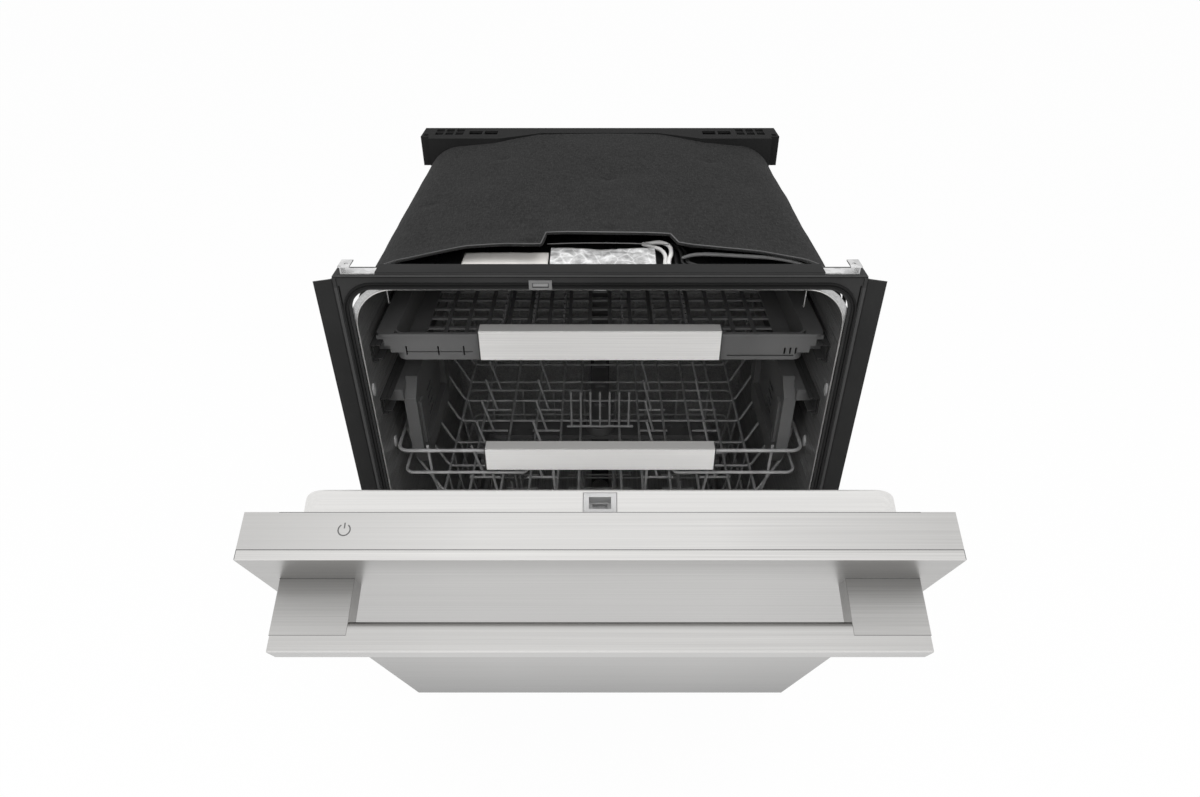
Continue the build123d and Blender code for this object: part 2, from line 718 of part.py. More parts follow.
def make_door_panel():
    half = door_half
    back = door_face + lip_depth
    skin = panel_skin
    panel = block(-half, half, door_face, back, door_bottom, door_top)
    panel -= block(-half + skin, half - skin, door_face + skin, back + 1, door_bottom + skin, door_top - skin)
    sheets = [block(-wide, wide, door_face - 1, door_face + skin + 0.3, 0, wide)]
    sheets += each_side(half - skin - 0.3, wide, door_face, back, 0, wide)
    sheets.append(block(-wide, wide, door_face, back, 0, door_bottom + 10))
    return in_pieces(panel, sheets)


def make_control_strip():
    """Top console: a brushed cover, open below, with its touch keys under the skin."""
    half = door_half
    front = door_face + lip_depth + running_gap
    t = console_skin
    cover = block(-half, half, front, console_back, console_low, door_top)
    cover -= block(-half + t, half - t, front + t, console_back - t, console_low - 1, door_top - t)
    bed = block(-half + 30, half - 30, front + t, console_back - t, door_top - t - 8, door_top - t - 6)
    return cover + bed


def plug(inset, back_round, y0):
    half = plug_half_width - inset
    return rounded_slab(half, plug_bottom + inset, plug_top - inset, y0, plug_back - inset, 22.0 - inset, back_round)


def pocket(grow, y1):
    half = plug_half_width - pocket_border + grow
    low = plug_bottom + pocket_border - 12 - grow
    top = plug_top - pocket_border + 12 + grow
    floor = plug_back - pocket_depth - grow
    return rounded_slab(half, low, top, floor, y1, 20.0 + grow, 0)


def make_door_liner():
    skin = liner_skin
    half = liner_half
    front = door_face + lip_depth + running_gap
    low = door_bottom + 4
    tray = block(-half, half, front, liner_face, low, console_low - running_gap)
    hollow = block(-half + skin, half - skin, front - 1, liner_face - skin, low + skin, console_low)
    liner = tray - hollow + plug(0, plug_round, liner_face - skin)
    cavity = plug(skin, plug_round - skin, liner_face - skin - 1) - pocket(skin, plug_back)
    liner = liner - cavity - pocket(0, plug_back + 1)
    liner -= block(-15.5, 15.5, liner_face - 4, latch_back + 0.5, plug_top - 26.5, plug_top + 1)
    slot_x = arm_x - 0.5
    slot = block(slot_x, slot_x + arm_skin + 1, liner_face - 3, liner_face + 1, hinge_z - 18, hinge_z + 24)
    return liner - slot - mirror(slot, about=Plane.YZ)


def make_door_insulation():
    half = arm_x - 4
    front = door_face + panel_skin + running_gap
    back = liner_face - liner_skin - running_gap
    return block(-half, half, front, back, door_bottom + 12, console_low - 12)


def make_latch_housing():
    y = latch_y
    body = block(-15, 15, liner_face + 0.5, latch_back, plug_top - 26, plug_top)
    body -= block(-10, 10, y - 6, y + 5.5, plug_top - 14, plug_top + 1)
    return body - block(-7, 7, y - 4, y + 4, plug_top - 20, plug_top - 13)


def make_handle_bar():
    half = handle_half_length
    middle = block(-bracket_inner, bracket_inner, handle_front, handle_back, handle_low, handle_top)
    rear_top = middle.edges().filter_by(Axis.X).sort_by(lambda e: e.center().Y + e.center().Z)[-1]
    middle = fillet(rear_top, handle_round)
    ends = block(bracket_inner, half, handle_front, bracket_front, handle_low, handle_top)
    cut = extrude(
        make_face(Polyline((half - 9, -1), (half + 1, -1), (half + 1, 8.5), close=True)), 100
    )
    plane = Plane(origin=(0, 0, handle_low), x_dir=(1, 0, 0), z_dir=(0, -1, 0))
    ends -= plane * cut
    bar = middle + both(ends)
    front = bar.edges().filter_by(Axis.X).sort_by(Axis.Y)[:2]
    return fillet(front, 1.5)


def make_handle_bracket():
    body = block(bracket_inner, handle_half_length + 1, bracket_front, door_face, handle_low, handle_top)
    return fillet(body.edges().filter_by(Axis.Y), 1.0)


def make_dispenser_body():
    floor = plug_back - pocket_depth
    body = rounded_slab(78.0, 400.0, 520.0, floor, plug_back - 4, 10.0, 2.0)
    body = Pos(20, 0, 0) * body
    body -= block(-24, 46, floor + 3, plug_back, 412, 462)
    body -= rod((68, floor + 3, 485), (68, plug_back, 485), 15.0)
    return body - block(-40, 40, floor + 6, plug_back, 492, 502)


def make_dispenser_lid():
    y = plug_back - 4 + running_gap
    lid = block(-28, 50, y, y + 2.5, 408, 470)
    lid += rod((-26, y + 1.25, 408), (48, y + 1.25, 408), 1.25)
    return lid + block(0, 22, y + 2.4, y + 3.7, 458, 466)


def make_rinse_aid_cap():
    y = plug_back - 4 + running_gap
    floor = plug_back - pocket_depth + 3 + running_gap
    cap = rod((68, y, 485), (68, y + 2.2, 485), 18.0)
    cap += rod((68, floor, 485), (68, y, 485), 14.7)
    return cap + block(54, 82, y + 2, y + 3.6, 482.5, 487.5)


# Racks

def make_rail(z, x_out, y0, y1, height, width, skin):
    """A channel that opens towards the middle of the tub."""
    rail = block(x_out - width, x_out, y0, y1, z - height / 2, z + height / 2)
    return rail - block(x_out - width - 1, x_out - skin, y0 - 1, y1 + 1, z - height / 2 + skin, z + height / 2 - skin)


def make_outer_rails(z):
    return both(make_rail(z, tub_half, 30.0, rail_back, rail_height, rail_width, rail_skin))


def make_middle_rails(z):
    step = rail_skin + rail_gap
    height = rail_height - 2 * step
    width = rail_width + 4.0
    return both(make_rail(z, tub_half - step, 34.0, rail_back - 6, height, width, rail_skin))


def inner_bar(z, x_in):
    """The innermost rail member, carried inside the middle channel."""
    step = 2 * (rail_skin + rail_gap)
    half = rail_height / 2 - step
    return block(x_in, tub_half - step, 56.0, rail_back - 12, z - half, z + half)


tray_rail_z = tray_rim - 21.0
upper_rail_z = upper_rim + 86.0
upper_front_wires = (-238, -152, -66, 66, 152, 238)
lower_front_wires = (-217, -155, -93, -31, 31, 93, 155, 217)


def make_tray_frame():
    """Shallow plastic tray: flared rim, slotted walls and a grid floor."""
    half = tray_body_half
    front = rack_front + 4
    skin = tray_skin
    body = block(-half, half, front, rack_back, tray_floor, tray_rim)
    body = fillet(body.edges().filter_by(Axis.Z), 14.0)
    hollow = block(-half + skin, half - skin, front + skin, rack_back - skin, tray_floor + 3, tray_rim + 1)
    hollow = fillet(hollow.edges().filter_by(Axis.Z), 12.0)
    tray = body - hollow
    rim = block(-tray_rim_half, tray_rim_half, rack_front + 1.5, rack_back + 2, tray_rim - 4, tray_rim)
    rim = fillet(rim.edges().filter_by(Axis.Z), 10.0)
    for x, low, high in ((0, tray_lip, 3), (8, tray_lip + 9.5, tray_lip - 1), (15, tray_lip + 19, tray_lip + 8)):
        x = tray_rim_half - x
        rim += block(-x, x, front - 0.2, front + 2.2, tray_rim - low, tray_rim - high)
    rim -= block(-half + 1, half - 1, front + 1, rack_back - 1, tray_rim - 5, tray_rim + 1)
    tray += rim
    pitch_x = 27.5
    pitch_y = 27.0
    count_x = int((2 * half - 40) / pitch_x)
    count_y = int((rack_back - front - 34) / pitch_y)
    centre_y = (front + rack_back) / 2
    cells = GridLocations(pitch_x, pitch_y, count_x, count_y) * Rectangle(pitch_x - 5, pitch_y - 5)
    tray -= Pos(0, centre_y, tray_floor - 1) * extrude(Sketch() + cells, 5.0)
    slots = block(-243, -160, front - 5, front + 5, tray_rim - 27, tray_rim - 25.6)
    for x in (-243, -203, -171):
        slots += block(x - 1, x + 1, front - 5, front + 5, tray_rim - 31.5, tray_rim - 18)
    slots += block(160, 244, front - 5, front + 5, tray_floor + 5, tray_floor + 7)
    for x in (232, 239, 246):
        slots += block(x - 1.2, x + 1.2, front - 5, front + 5, tray_rim - 30, tray_rim - 20.5)
    tray -= slots
    bars = inner_bar(tray_rail_z, half - 1)
    tray += both(bars)
    walls = [block(-wide, wide, 0, wide, 0, tray_floor + 4)]
    walls += each_side(half - 14, wide, 0, wide, tray_floor + 4, wide)
    walls.append(block(-wide, wide, 0, front + 14, tray_floor + 4, wide))
    return in_pieces(tray, walls)


def make_tray_inserts():
    """Combs that hold the cutlery, standing on the tray floor."""
    base = tray_floor + 3 + running_gap
    start = rack_front + 24
    combs = []
    for x in (-128.0, -88.0, -48.0, 30.0, 72.0, 114.0):
        points = comb_teeth(start, rack_back - 24, 14.0, 4.0, base, base + 20)
        combs.append(side_plate(points, x - 1.2, x + 1.2))
    for x0, x1 in ((-130, -46), (28, 116)):
        for y in (start + 6, (start + rack_back) / 2, rack_back - 40):
            combs.append(block(x0, x1, y, y + 3, base, base + 5))
    return combs[0] + combs[1:]


def make_handle_channel(half, z_low, z_top, skin):
    """A folded stainless handle, open at the back."""
    depth = 18.0
    y = rack_front
    bar = block(-half, half, y, y + depth, z_low, z_top)
    bar = fillet(bar.edges().filter_by(Axis.X).sort_by(Axis.Y)[:2], 1.2)
    return bar - block(-half - 1, half + 1, y + skin, y + depth + 1, z_low + skin, z_top - skin)


def make_tray_handle():
    z_top = tray_rim + 5
    shell = make_handle_channel(tray_handle_half, tray_floor + 1, z_top, 1.2)
    half = tray_rim_half
    shell -= block(-half, half, rack_front + 1.2, rack_front + 40, tray_rim - 6, tray_rim + running_gap)
    return shell - block(-half, half, rack_front + 3.7, rack_front + 40, tray_floor - 5, tray_rim - 5)


def u_wire(x, rim, floor, front, rake, back, radius):
    """One lengthwise basket wire: raked front, floor and back."""
    points = [(x, front, rim), (x, front + 4, floor + 0.55 * (rim - floor)), (x, front + rake, floor)]
    points += [(x, back, floor), (x, back, rim)]
    return bent_wire(points, radius, [30.0, 18.0, 12.0])


def cross_wire(y, rim, floor, half_top, half_mid, half_low, radius):
    """One crosswise basket wire: flared sides over a flat floor."""
    middle = floor + 0.5 * (rim - floor)
    points = [(-half_top, y, rim), (-half_mid, y, middle), (-half_low, y, floor)]
    points += [(half_low, y, floor), (half_mid, y, middle), (half_top, y, rim)]
    return bent_wire(points, radius, [30.0, 14.0, 14.0, 30.0])


def rim_loop(half, front, back, z, radius):
    """A rim wire that runs all round, with a butt joint at the back."""
    points = [(-1, back, z), (-half, back, z), (-half, front, z), (half, front, z), (half, back, z), (1, back, z)]
    loop = bent_wire(points, radius, 14.0)
    return loop + rod((-6, back, z), (6, back, z), radius + 0.4)


def basket_pieces(basket, floor_cut, front_cut, back_cut):
    """A basket as a floor, four walls, four corners and its upright tines."""
    corner = 225.0
    panels = [block(-wide, wide, 0, wide, 0, floor_cut)]
    for y0, y1 in ((0, front_cut), (back_cut, wide)):
        panels.append(block(-corner, corner, y0, y1, floor_cut, wide))
        panels += each_side(corner, wide, y0, y1, floor_cut, wide)
    panels += each_side(corner, wide, front_cut, back_cut, floor_cut, wide)
    return in_pieces(basket, panels)


def make_upper_basket():
    front = rack_front + 6
    back = rack_back
    rim = upper_rim
    floor = upper_floor
    half = upper_half_width
    wires = [rim_loop(half, front, back, rim, rim_wire)]
    second = rim - 39.0
    side = half - 5.4
    for sign in (-1, 1):
        points = [(sign * 98, front + 16, second), (sign * 106, front, second), (sign * side, front, second)]
        points += [(sign * side, back, second), (sign * 1, back, second)]
        wires.append(bent_wire(points, 2.2, [6.0, 12.0, 12.0]))
    for x in upper_front_wires:
        wires.append(u_wire(x, rim + 5.5, floor, front + 4, 36.0, back - 1, wire))
    for x in (-200, -109, -33, 33, 109, 200):
        wires.append(rod((x, front + 40, floor), (x, back - 1, floor), wire))
    for i in range(7):
        wires.append(cross_wire(upper_wire_y(i), rim, floor - 2.5, half, half - 9, 240, wire))
    for x in (-180, -90, 90, 180):
        for i in range(5):
            y = upper_wire_y(i + 0.5)
            wires.append(rod((x - 24, y, floor - 1), (x + 24, y, floor - 1), wire))
            wires.append(rod((x, y, floor - 1), (x - 16, y, floor + 62), wire))
    return basket_pieces(wires[0] + wires[1:], floor + 6, front + 46, back - 7)


def upper_wire_y(index):
    front = rack_front + 6
    return front + 60 + index * (rack_back - front - 90) / 6


def notch_for_wires(handle, wires, half, z_low, y_from):
    """Gaps in the handle's lower plate where the basket's upright wires pass."""
    for x in wires:
        if abs(x) < half:
            handle -= block(x - 2.8, x + 2.8, y_from, y_from + 40, z_low - 1, z_low + 3)
    return handle


def make_upper_handle():
    top = upper_rim + 7
    low = top - upper_handle_height
    bar = make_handle_channel(upper_handle_half, low, top, 1.2)
    return notch_for_wires(bar, upper_front_wires, upper_handle_half, low, rack_front + 6)


def make_height_adjusters():
    """Plastic lift frames that join the upper rack to its rails, one each side."""
    x0 = 246.0
    x1 = 262.0
    y0 = rack_front + 20
    low = upper_rim - 49
    top = upper_rail_z + 12
    body = side_plate(
        [(y0, low + 40), (y0, top - 20), (y0 + 24, top), (y0 + 190, top), (y0 + 214, top - 20),
         (y0 + 214, low + 40), (y0 + 190, low), (y0 + 24, low)], x0, x1)
    body -= side_plate(
        [(y0 + 30, low + 30), (y0 + 30, top - 44), (y0 + 184, top - 44), (y0 + 184, low + 30)], x0 - 1, x0 + 9)
    for i in range(6):
        z = low + 34 + i * 13
        body -= block(x0 - 1, x1 + 1, y0 + 92, y0 + 122, z, z + 5)
    body += block(x0 - 3, x0 + 2, y0 + 12, y0 + 24, low + 44, top - 34)
    clip_x = upper_half_width - 7.9
    for y in (upper_wire_y(0.5), upper_wire_y(1.5)):
        body += block(x1 - 1, clip_x, y - 4, y + 4, low + 4, low + 12)
    return both(body + inner_bar(upper_rail_z, x1 - 1))


def make_upper_spray_feed():
    """Feed tube under the upper rack, from the back port to the arm's hub."""
    z = feed_z
    y_in = rack_back + 3 - running_gap
    centre = sump_y
    under_wires = upper_floor - 2.5 - wire - running_gap
    tube = block(-16, 16, centre, y_in - 14, z - 5, z + 5)
    tube += rod((0, y_in - 16, feed_port_z), (0, y_in, feed_port_z), 12.0)
    tube += block(-12, 12, y_in - 29, y_in - 8, z - 5, z + 14)
    tube -= rod((0, y_in - 12, feed_port_z), (0, y_in + 1, feed_port_z), 8.0)
    tube += rod((0, centre, z - 5), (0, centre, under_wires), 24.0)
    tube += rod((0, centre, z - 17), (0, centre, z - 4), arm_pin_radius)
    for i in (4, 5):
        y = upper_wire_y(i)
        tube += block(-10, 10, y - 5, y + 5, z, under_wires)
    return tube


def make_upper_spray_arm():
    top = feed_z - 5 - running_gap
    arm = Pos(0, sump_y, top - 11) * extrude(RectangleRounded(390.0, 40.0, 19.0), 11.0)
    arm = fillet(arm.faces().sort_by(Axis.Z)[0].edges(), 3.0)
    arm -= rod((0, sump_y, top - 12), (0, sump_y, top + 1), arm_pin_radius + pin_gap)
    for i in range(5):
        x = 70.0 + i * 26.0
        arm -= Pos(x, sump_y + 5, top) * Box(6.0, 2.4, 4.0)
        arm -= Pos(-x, sump_y - 5, top) * Box(6.0, 2.4, 4.0)
    return arm


def make_upper_tines():
    """A row of fold-down tines on its own cross rod."""
    y = upper_wire_y(3) - 25
    z = upper_floor + wire + running_gap + 2.2
    row = [rod((-56, y, z), (56, y, z), 2.2)]
    for i in range(7):
        x = -48 + i * 16
        row.append(rod((x, y, z), (x, y, z + 70), 1.8))
    return row[0] + row[1:]


def make_lower_basket():
    front = rack_front + 14
    back = rack_back - 3
    rim = lower_rim
    floor = lower_floor
    half = lower_half_width
    wires = [rim_loop(half, front, back, rim, rim_wire)]
    second = rim - 60.0
    wires.append(rim_loop(half - 5, front + 3, back, second, 2.2))
    for x in lower_front_wires:
        wires.append(u_wire(x, rim, floor, front + 3, 44.0, back - 1, wire))
    for i in range(7):
        wires.append(cross_wire(lower_wire_y(i), rim, floor - 2.5, half, half - 9, 236, wire))
    for x in (-155, -31, 31, 155):
        for i in range(9):
            y = front + 70 + i * (back - front - 110) / 8
            wires.append(rod((x - 31, y, floor + 1), (x + 31, y, floor + 1), wire))
            wires.append(rod((x, y, floor + 1), (x - 8, y, floor + 92), wire))
    for sign in (-1, 1):
        for y in wheel_places():
            z = wheel_axle_z
            wires.append(block(sign * 238, sign * 244, y - 15, y + 15, z - 9, z + 22))
            wires.append(rod((sign * 240, y, z), (sign * (wheel_x + wheel_width / 2 + 1.6), y, z), 4.0))
            cap = wheel_x + wheel_width / 2 + running_gap
            wires.append(rod((sign * cap, y, z), (sign * (cap + 1.5), y, z), 6.5))
    return basket_pieces(wires[0] + wires[1:], floor + 6, front + 53, back - 10)


def lower_wire_y(index):
    front = rack_front + 14
    return front + 62 + index * (rack_back - 3 - front - 90) / 6


def wheel_places():
    return lower_wire_y(0) + 12.0, lower_wire_y(6) - 12.0


def make_wheels(y):
    z = wheel_axle_z
    pair = []
    for sign in (-1, 1):
        inner = sign * (wheel_x - wheel_width / 2)
        outer = sign * (wheel_x + wheel_width / 2)
        wheel = rod((inner, y, z), (outer, y, z), wheel_radius)
        wheel -= rod((outer - sign * 3, y, z), (outer + sign, y, z), wheel_radius - 3)
        wheel += rod((inner, y, z), (outer, y, z), 7.0)
        for i in range(6):
            angle = radians(i * 60)
            spoke_y = y + 9 * cos(angle)
            spoke_z = z + 9 * sin(angle)
            wheel -= rod((inner - sign, spoke_y, spoke_z), (outer + sign, spoke_y, spoke_z), 1.6)
        wheel -= rod((inner - sign, y, z), (outer + sign, y, z), 4.0 + pin_gap)
        pair.append(wheel)
    return pair[0] + pair[1]


def make_lower_handle():
    top = lower_rim + rim_wire + running_gap + 1.2
    low = top - 34
    bar = make_handle_channel(upper_handle_half, low, top, 1.2)
    bar = notch_for_wires(bar, lower_front_wires, upper_handle_half, low, rack_front + 5)
    return Pos(0, 8, 0) * bar


def swing(part):
    """Turn a door piece about the hinge from closed to where it stands."""
    return Pos(0, hinge_y, hinge_z) * Rot(door_open, 0, 0) * Pos(0, -hinge_y, -hinge_z) * part


trim = make_side_trim()
bracket = make_handle_bracket()
rack_wheel_front, rack_wheel_rear = wheel_places()

nodes = {
    "tub": make_tub(),
    "front_frame": make_front_frame(),
    "tub_gasket": make_tub_gasket(),
    "bottom_seal": make_bottom_seal(),
    "side_trim_right": trim,
    "side_trim_left": mirror(trim, about=Plane.YZ),
    "worktop_brackets": make_worktop_brackets(),
    "door_pusher": make_door_pusher(),
    "latch_strike": make_latch_strike(),
    "insulation_blanket": make_insulation_blanket(),
    "rear_brace": make_rear_brace(),
    "document_pouch": make_document_pouch(),
    "wiring_harness": make_wiring_harness(),
    "sump": make_sump(),
    "filter_screen": make_filter_screen(),
    "filter_cup": make_filter_cup(),
    "lower_spray_arm": make_lower_spray_arm(),
    "spray_conduit": make_spray_conduit(),
    "top_nozzle": make_top_nozzle(),
    "circulation_pump": make_circulation_pump(),
    "drain_pump": make_drain_pump(),
    "inlet_valve": make_inlet_valve(),
    "junction_box": make_junction_box(),
    "base_pan": make_base_pan(),
    "access_panel": make_access_panel(),
    "leg_front_left": make_leg(-leg_x, leg_front_y),
    "leg_front_right": make_leg(leg_x, leg_front_y),
    "leg_rear_left": make_leg(-leg_x, leg_back_y),
    "leg_rear_right": make_leg(leg_x, leg_back_y),
    "hinge_mounts": make_hinge_mounts(),
    "door_springs": make_door_springs(),
    "hinge_arms": swing(make_hinge_arms()),
    "door_panel": swing(make_door_panel()),
    "control_strip": swing(make_control_strip()),
    "door_liner": swing(make_door_liner()),
    "door_insulation": swing(make_door_insulation()),
    "latch_housing": swing(make_latch_housing()),
    "handle_bar": swing(make_handle_bar()),
    "handle_bracket_right": swing(bracket),
    "handle_bracket_left": swing(mirror(bracket, about=Plane.YZ)),
    "dispenser_body": swing(make_dispenser_body()),
    "dispenser_lid": swing(make_dispenser_lid()),
    "rinse_aid_cap": swing(make_rinse_aid_cap()),
    "tray_rail_outers": make_outer_rails(tray_rail_z),
    "tray_rails": make_middle_rails(tray_rail_z),
    "tray_frame": make_tray_frame(),
    "tray_inserts": make_tray_inserts(),
    "tray_handle": make_tray_handle(),
    "upper_rail_outers": make_outer_rails(upper_rail_z),
    "upper_rails": make_middle_rails(upper_rail_z),
    "height_adjusters": make_height_adjusters(),
    "upper_basket": make_upper_basket(),
    "upper_handle": make_upper_handle(),
    "upper_spray_feed": make_upper_spray_feed(),
    "upper_spray_arm": make_upper_spray_arm(),
    "upper_tines": make_upper_tines(),
    "lower_basket": make_lower_basket(),
    "lower_handle": make_lower_handle(),
    "lower_wheels_front": make_wheels(rack_wheel_front),
    "lower_wheels_rear": make_wheels(rack_wheel_rear),
}

os.makedirs("parts", exist_ok=True)
for name, part in nodes.items():
    part.label = name
    export_step(part, f"parts/{name}.step")
    print(name, "solids", len(part.solids()), "volume", round(part.volume))
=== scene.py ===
import math

import bmesh
import bpy
import numpy as np
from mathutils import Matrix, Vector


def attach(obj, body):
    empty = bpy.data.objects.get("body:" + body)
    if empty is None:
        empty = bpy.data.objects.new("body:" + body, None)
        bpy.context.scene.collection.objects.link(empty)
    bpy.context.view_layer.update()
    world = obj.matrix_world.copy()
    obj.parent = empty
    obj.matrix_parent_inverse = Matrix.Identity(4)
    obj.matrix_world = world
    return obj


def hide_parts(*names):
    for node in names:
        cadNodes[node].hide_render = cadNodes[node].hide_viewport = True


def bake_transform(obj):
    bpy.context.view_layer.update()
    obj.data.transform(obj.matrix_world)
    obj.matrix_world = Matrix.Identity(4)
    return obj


# Dishwasher with its door part open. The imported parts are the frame; this script gives them their
# finishes and adds the soft pieces, the wiring and the small details. Metres, +Z up, front faces -Y.

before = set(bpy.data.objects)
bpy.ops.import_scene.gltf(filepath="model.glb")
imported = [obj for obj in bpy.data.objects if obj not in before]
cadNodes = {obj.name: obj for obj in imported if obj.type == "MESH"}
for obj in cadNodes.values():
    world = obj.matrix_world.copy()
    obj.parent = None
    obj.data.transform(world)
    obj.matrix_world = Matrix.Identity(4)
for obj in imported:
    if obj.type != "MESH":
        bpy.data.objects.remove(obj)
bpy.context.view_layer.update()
scene = bpy.context.scene
scene.view_settings.view_transform = "Standard"
mm = 0.001
print("frame loaded:", len(cadNodes), "nodes")

# view: camera, light and floor
view = {"place": (0.0, -0.785, 1.219), "tilt": 55.2, "lens": 23.1, "sensor": 36.0}
camera = bpy.data.objects.new("viewCamera", bpy.data.cameras.new("viewCamera"))
camera.location = view["place"]
camera.rotation_euler = (math.radians(view["tilt"]), 0.0, 0.0)
camera.data.lens = view["lens"]
camera.data.sensor_width = view["sensor"]
scene.collection.objects.link(camera)
scene.camera = camera


def addNode(tree, kind, inputs=None, **settings):
    # a shader node with its settings and inputs; an input that is a socket is linked
    made = tree.nodes.new(kind)
    for key, value in settings.items():
        setattr(made, key, value)
    for key, value in (inputs or {}).items():
        if isinstance(value, bpy.types.NodeSocket):
            tree.links.new(value, made.inputs[key])
        else:
            made.inputs[key].default_value = value
    return made


def calc(tree, operation, *values, **settings):
    # the outcome of one math node on sockets or numbers
    made = addNode(tree, "ShaderNodeMath", dict(enumerate(values)), operation=operation, **settings)
    return made.outputs[0]


def grey(value, warmth=0.0):
    # a linear colour from a display grey of 0 to 255, a little warm where warmth is above 0
    def linear(v):
        v = min(max(v / 255.0, 0.0), 1.0)
        return v / 12.92 if v <= 0.04045 else ((v + 0.055) / 1.055) ** 2.4
    return (linear(value + warmth), linear(value), linear(value - 1.6 * warmth), 1.0)


def lookedAt(tree):
    # 1 for rays that see the surroundings as camera, gloss or glass, 0 for the light that they give
    path = addNode(tree, "ShaderNodeLightPath").outputs
    seen = calc(tree, "MAXIMUM", path["Is Camera Ray"], path["Is Glossy Ray"])
    return calc(tree, "MAXIMUM", seen, path["Is Transmission Ray"])


studio = {"sky": 0.62, "floorHalf": 9.0, "floorGlow": 0.97, "floorGrey": 240}
world = bpy.data.worlds.new("studioSky")
world.use_nodes = True
scene.world = world
sky = world.node_tree
sky.nodes.clear()
shown = addNode(sky, "ShaderNodeBackground", {"Color": (1, 1, 1, 1), "Strength": 1.0})
given = addNode(sky, "ShaderNodeBackground", {"Color": (1, 1, 1, 1), "Strength": studio["sky"]})
mixed = addNode(sky, "ShaderNodeMixShader", {0: lookedAt(sky), 1: given.outputs[0], 2: shown.outputs[0]})
addNode(sky, "ShaderNodeOutputWorld", {"Surface": mixed.outputs[0]})

lamps = {
    "topBox": {"place": (0.0, -0.5, 2.6), "aim": (0.0, 0.1, 0.5), "size": (2.4, 1.6), "power": 26.0},
    "leftBox": {"place": (-2.2, -1.6, 1.5), "aim": (0.0, 0.0, 0.5), "size": (1.2, 1.8), "power": 12.0},
    "frontBox": {"place": (0.0, -1.5, 1.75), "aim": (0.0, 0.2, 0.62), "size": (1.0, 0.5), "power": 9.0},
    "rightBox": {"place": (2.2, -1.6, 1.5), "aim": (0.0, 0.0, 0.5), "size": (1.2, 1.8), "power": 10.0},
}
for lampName, lamp in lamps.items():
    data = bpy.data.lights.new(lampName, "AREA")
    data.shape = "RECTANGLE"
    data.size, data.size_y = lamp["size"]
    data.energy = lamp["power"]
    made = bpy.data.objects.new(lampName, data)
    made.location = lamp["place"]
    made.visible_glossy = False
    along = Vector(lamp["aim"]) - made.location
    made.rotation_euler = along.to_track_quat("-Z", "Y").to_euler()
    scene.collection.objects.link(made)
print("camera and light made")


# surfaces: every new piece is a grid of points worked out as whole arrays

def gridFaces(rows, cols, wrapRows, wrapCols):
    # quads between neighbouring samples of a rows by cols grid, wrapped round where it closes
    i, j = np.meshgrid(np.arange(rows if wrapRows else rows - 1), np.arange(cols if wrapCols else cols - 1),
                       indexing="ij")
    up, on = (i + 1) % rows, (j + 1) % cols
    return np.stack([i * cols + j, up * cols + j, up * cols + on, i * cols + on], -1).reshape(-1, 4).tolist()


def surface(points, wrapRows=False, wrapCols=False, capped=False):
    # (points, faces) of a grid of points; capped closes its first and last row with one face each
    rows, cols = points.shape[:2]
    faces = gridFaces(rows, cols, wrapRows, wrapCols)
    if capped:
        faces += [np.arange(cols)[::-1].tolist(), (np.arange(cols) + (rows - 1) * cols).tolist()]
    return points.reshape(-1, 3), faces


def makePiece(name, patches, finish, body, closed=True, angle=40.0):
    # one mesh from several patches, its faces turned outwards where they close, its finish and its body
    points, faces, first = [], [], 0
    for p, f in patches:
        points.append(p)
        faces += [[v + first for v in face] for face in f]
        first += len(p)
    mesh = bpy.data.meshes.new(name)
    mesh.from_pydata(np.concatenate(points).tolist(), [], faces)
    if closed:
        shaped = bmesh.new()
        shaped.from_mesh(mesh)
        bmesh.ops.remove_doubles(shaped, verts=shaped.verts, dist=1e-6)
        bmesh.ops.recalc_face_normals(shaped, faces=shaped.faces)
        shaped.to_mesh(mesh)
        shaped.free()
    mesh.shade_smooth()
    mesh.set_sharp_from_angle(angle=math.radians(angle))
    mesh.materials.append(finish)
    piece = bpy.data.objects.new(name, mesh)
    scene.collection.objects.link(piece)
    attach(piece, body)
    return piece


def easedPath(points, rounds=4):
    # a smooth line by corner cutting: each round puts two points on every run, a quarter from its ends
    line = np.array(points, float)
    for _ in range(rounds):
        a, b = line[:-1], line[1:]
        cut = np.stack([0.75 * a + 0.25 * b, 0.25 * a + 0.75 * b], 1).reshape(-1, 3)
        line = np.concatenate([line[:1], cut, line[-1:]])
    return line


def sweepSection(line, section, reference=(0.0, 0.0, 1.0), closedLine=False, grow=None):
    # a flat section (n, 2) carried along a line: its first axis is across the line and the reference
    line = np.array(line, float)
    if closedLine:
        run = np.roll(line, -1, 0) - np.roll(line, 1, 0)
    else:
        run = np.gradient(line, axis=0)
    run /= np.linalg.norm(run, axis=1)[:, None]
    side = np.cross(run, np.array(reference, float))
    side /= np.linalg.norm(side, axis=1)[:, None]
    rise = np.cross(side, run)
    size = np.ones(len(line)) if grow is None else np.asarray(grow, float)
    section = np.array(section, float)
    points = (line[:, None] + side[:, None] * section[None, :, :1] * size[:, None, None]
              + rise[:, None] * section[None, :, 1:] * size[:, None, None])
    return surface(points, wrapRows=closedLine, wrapCols=True, capped=not closedLine)


def circle(radius, sides=12):
    # points round a circle
    a = np.linspace(0, 2 * np.pi, sides, endpoint=False)
    return np.stack([radius * np.cos(a), radius * np.sin(a)], 1)


def roundedRect(halfWide, halfTall, radius, steps=6):
    # points round a rectangle whose corners are quarter circles
    a = np.linspace(0, np.pi / 2, steps)
    turns = np.arange(4)[:, None] * np.pi / 2 + a[None]
    cx = np.array([1, -1, -1, 1])[:, None] * (halfWide - radius)
    cy = np.array([1, 1, -1, -1])[:, None] * (halfTall - radius)
    return np.stack([cx + radius * np.cos(turns), cy + radius * np.sin(turns)], -1).reshape(-1, 2)


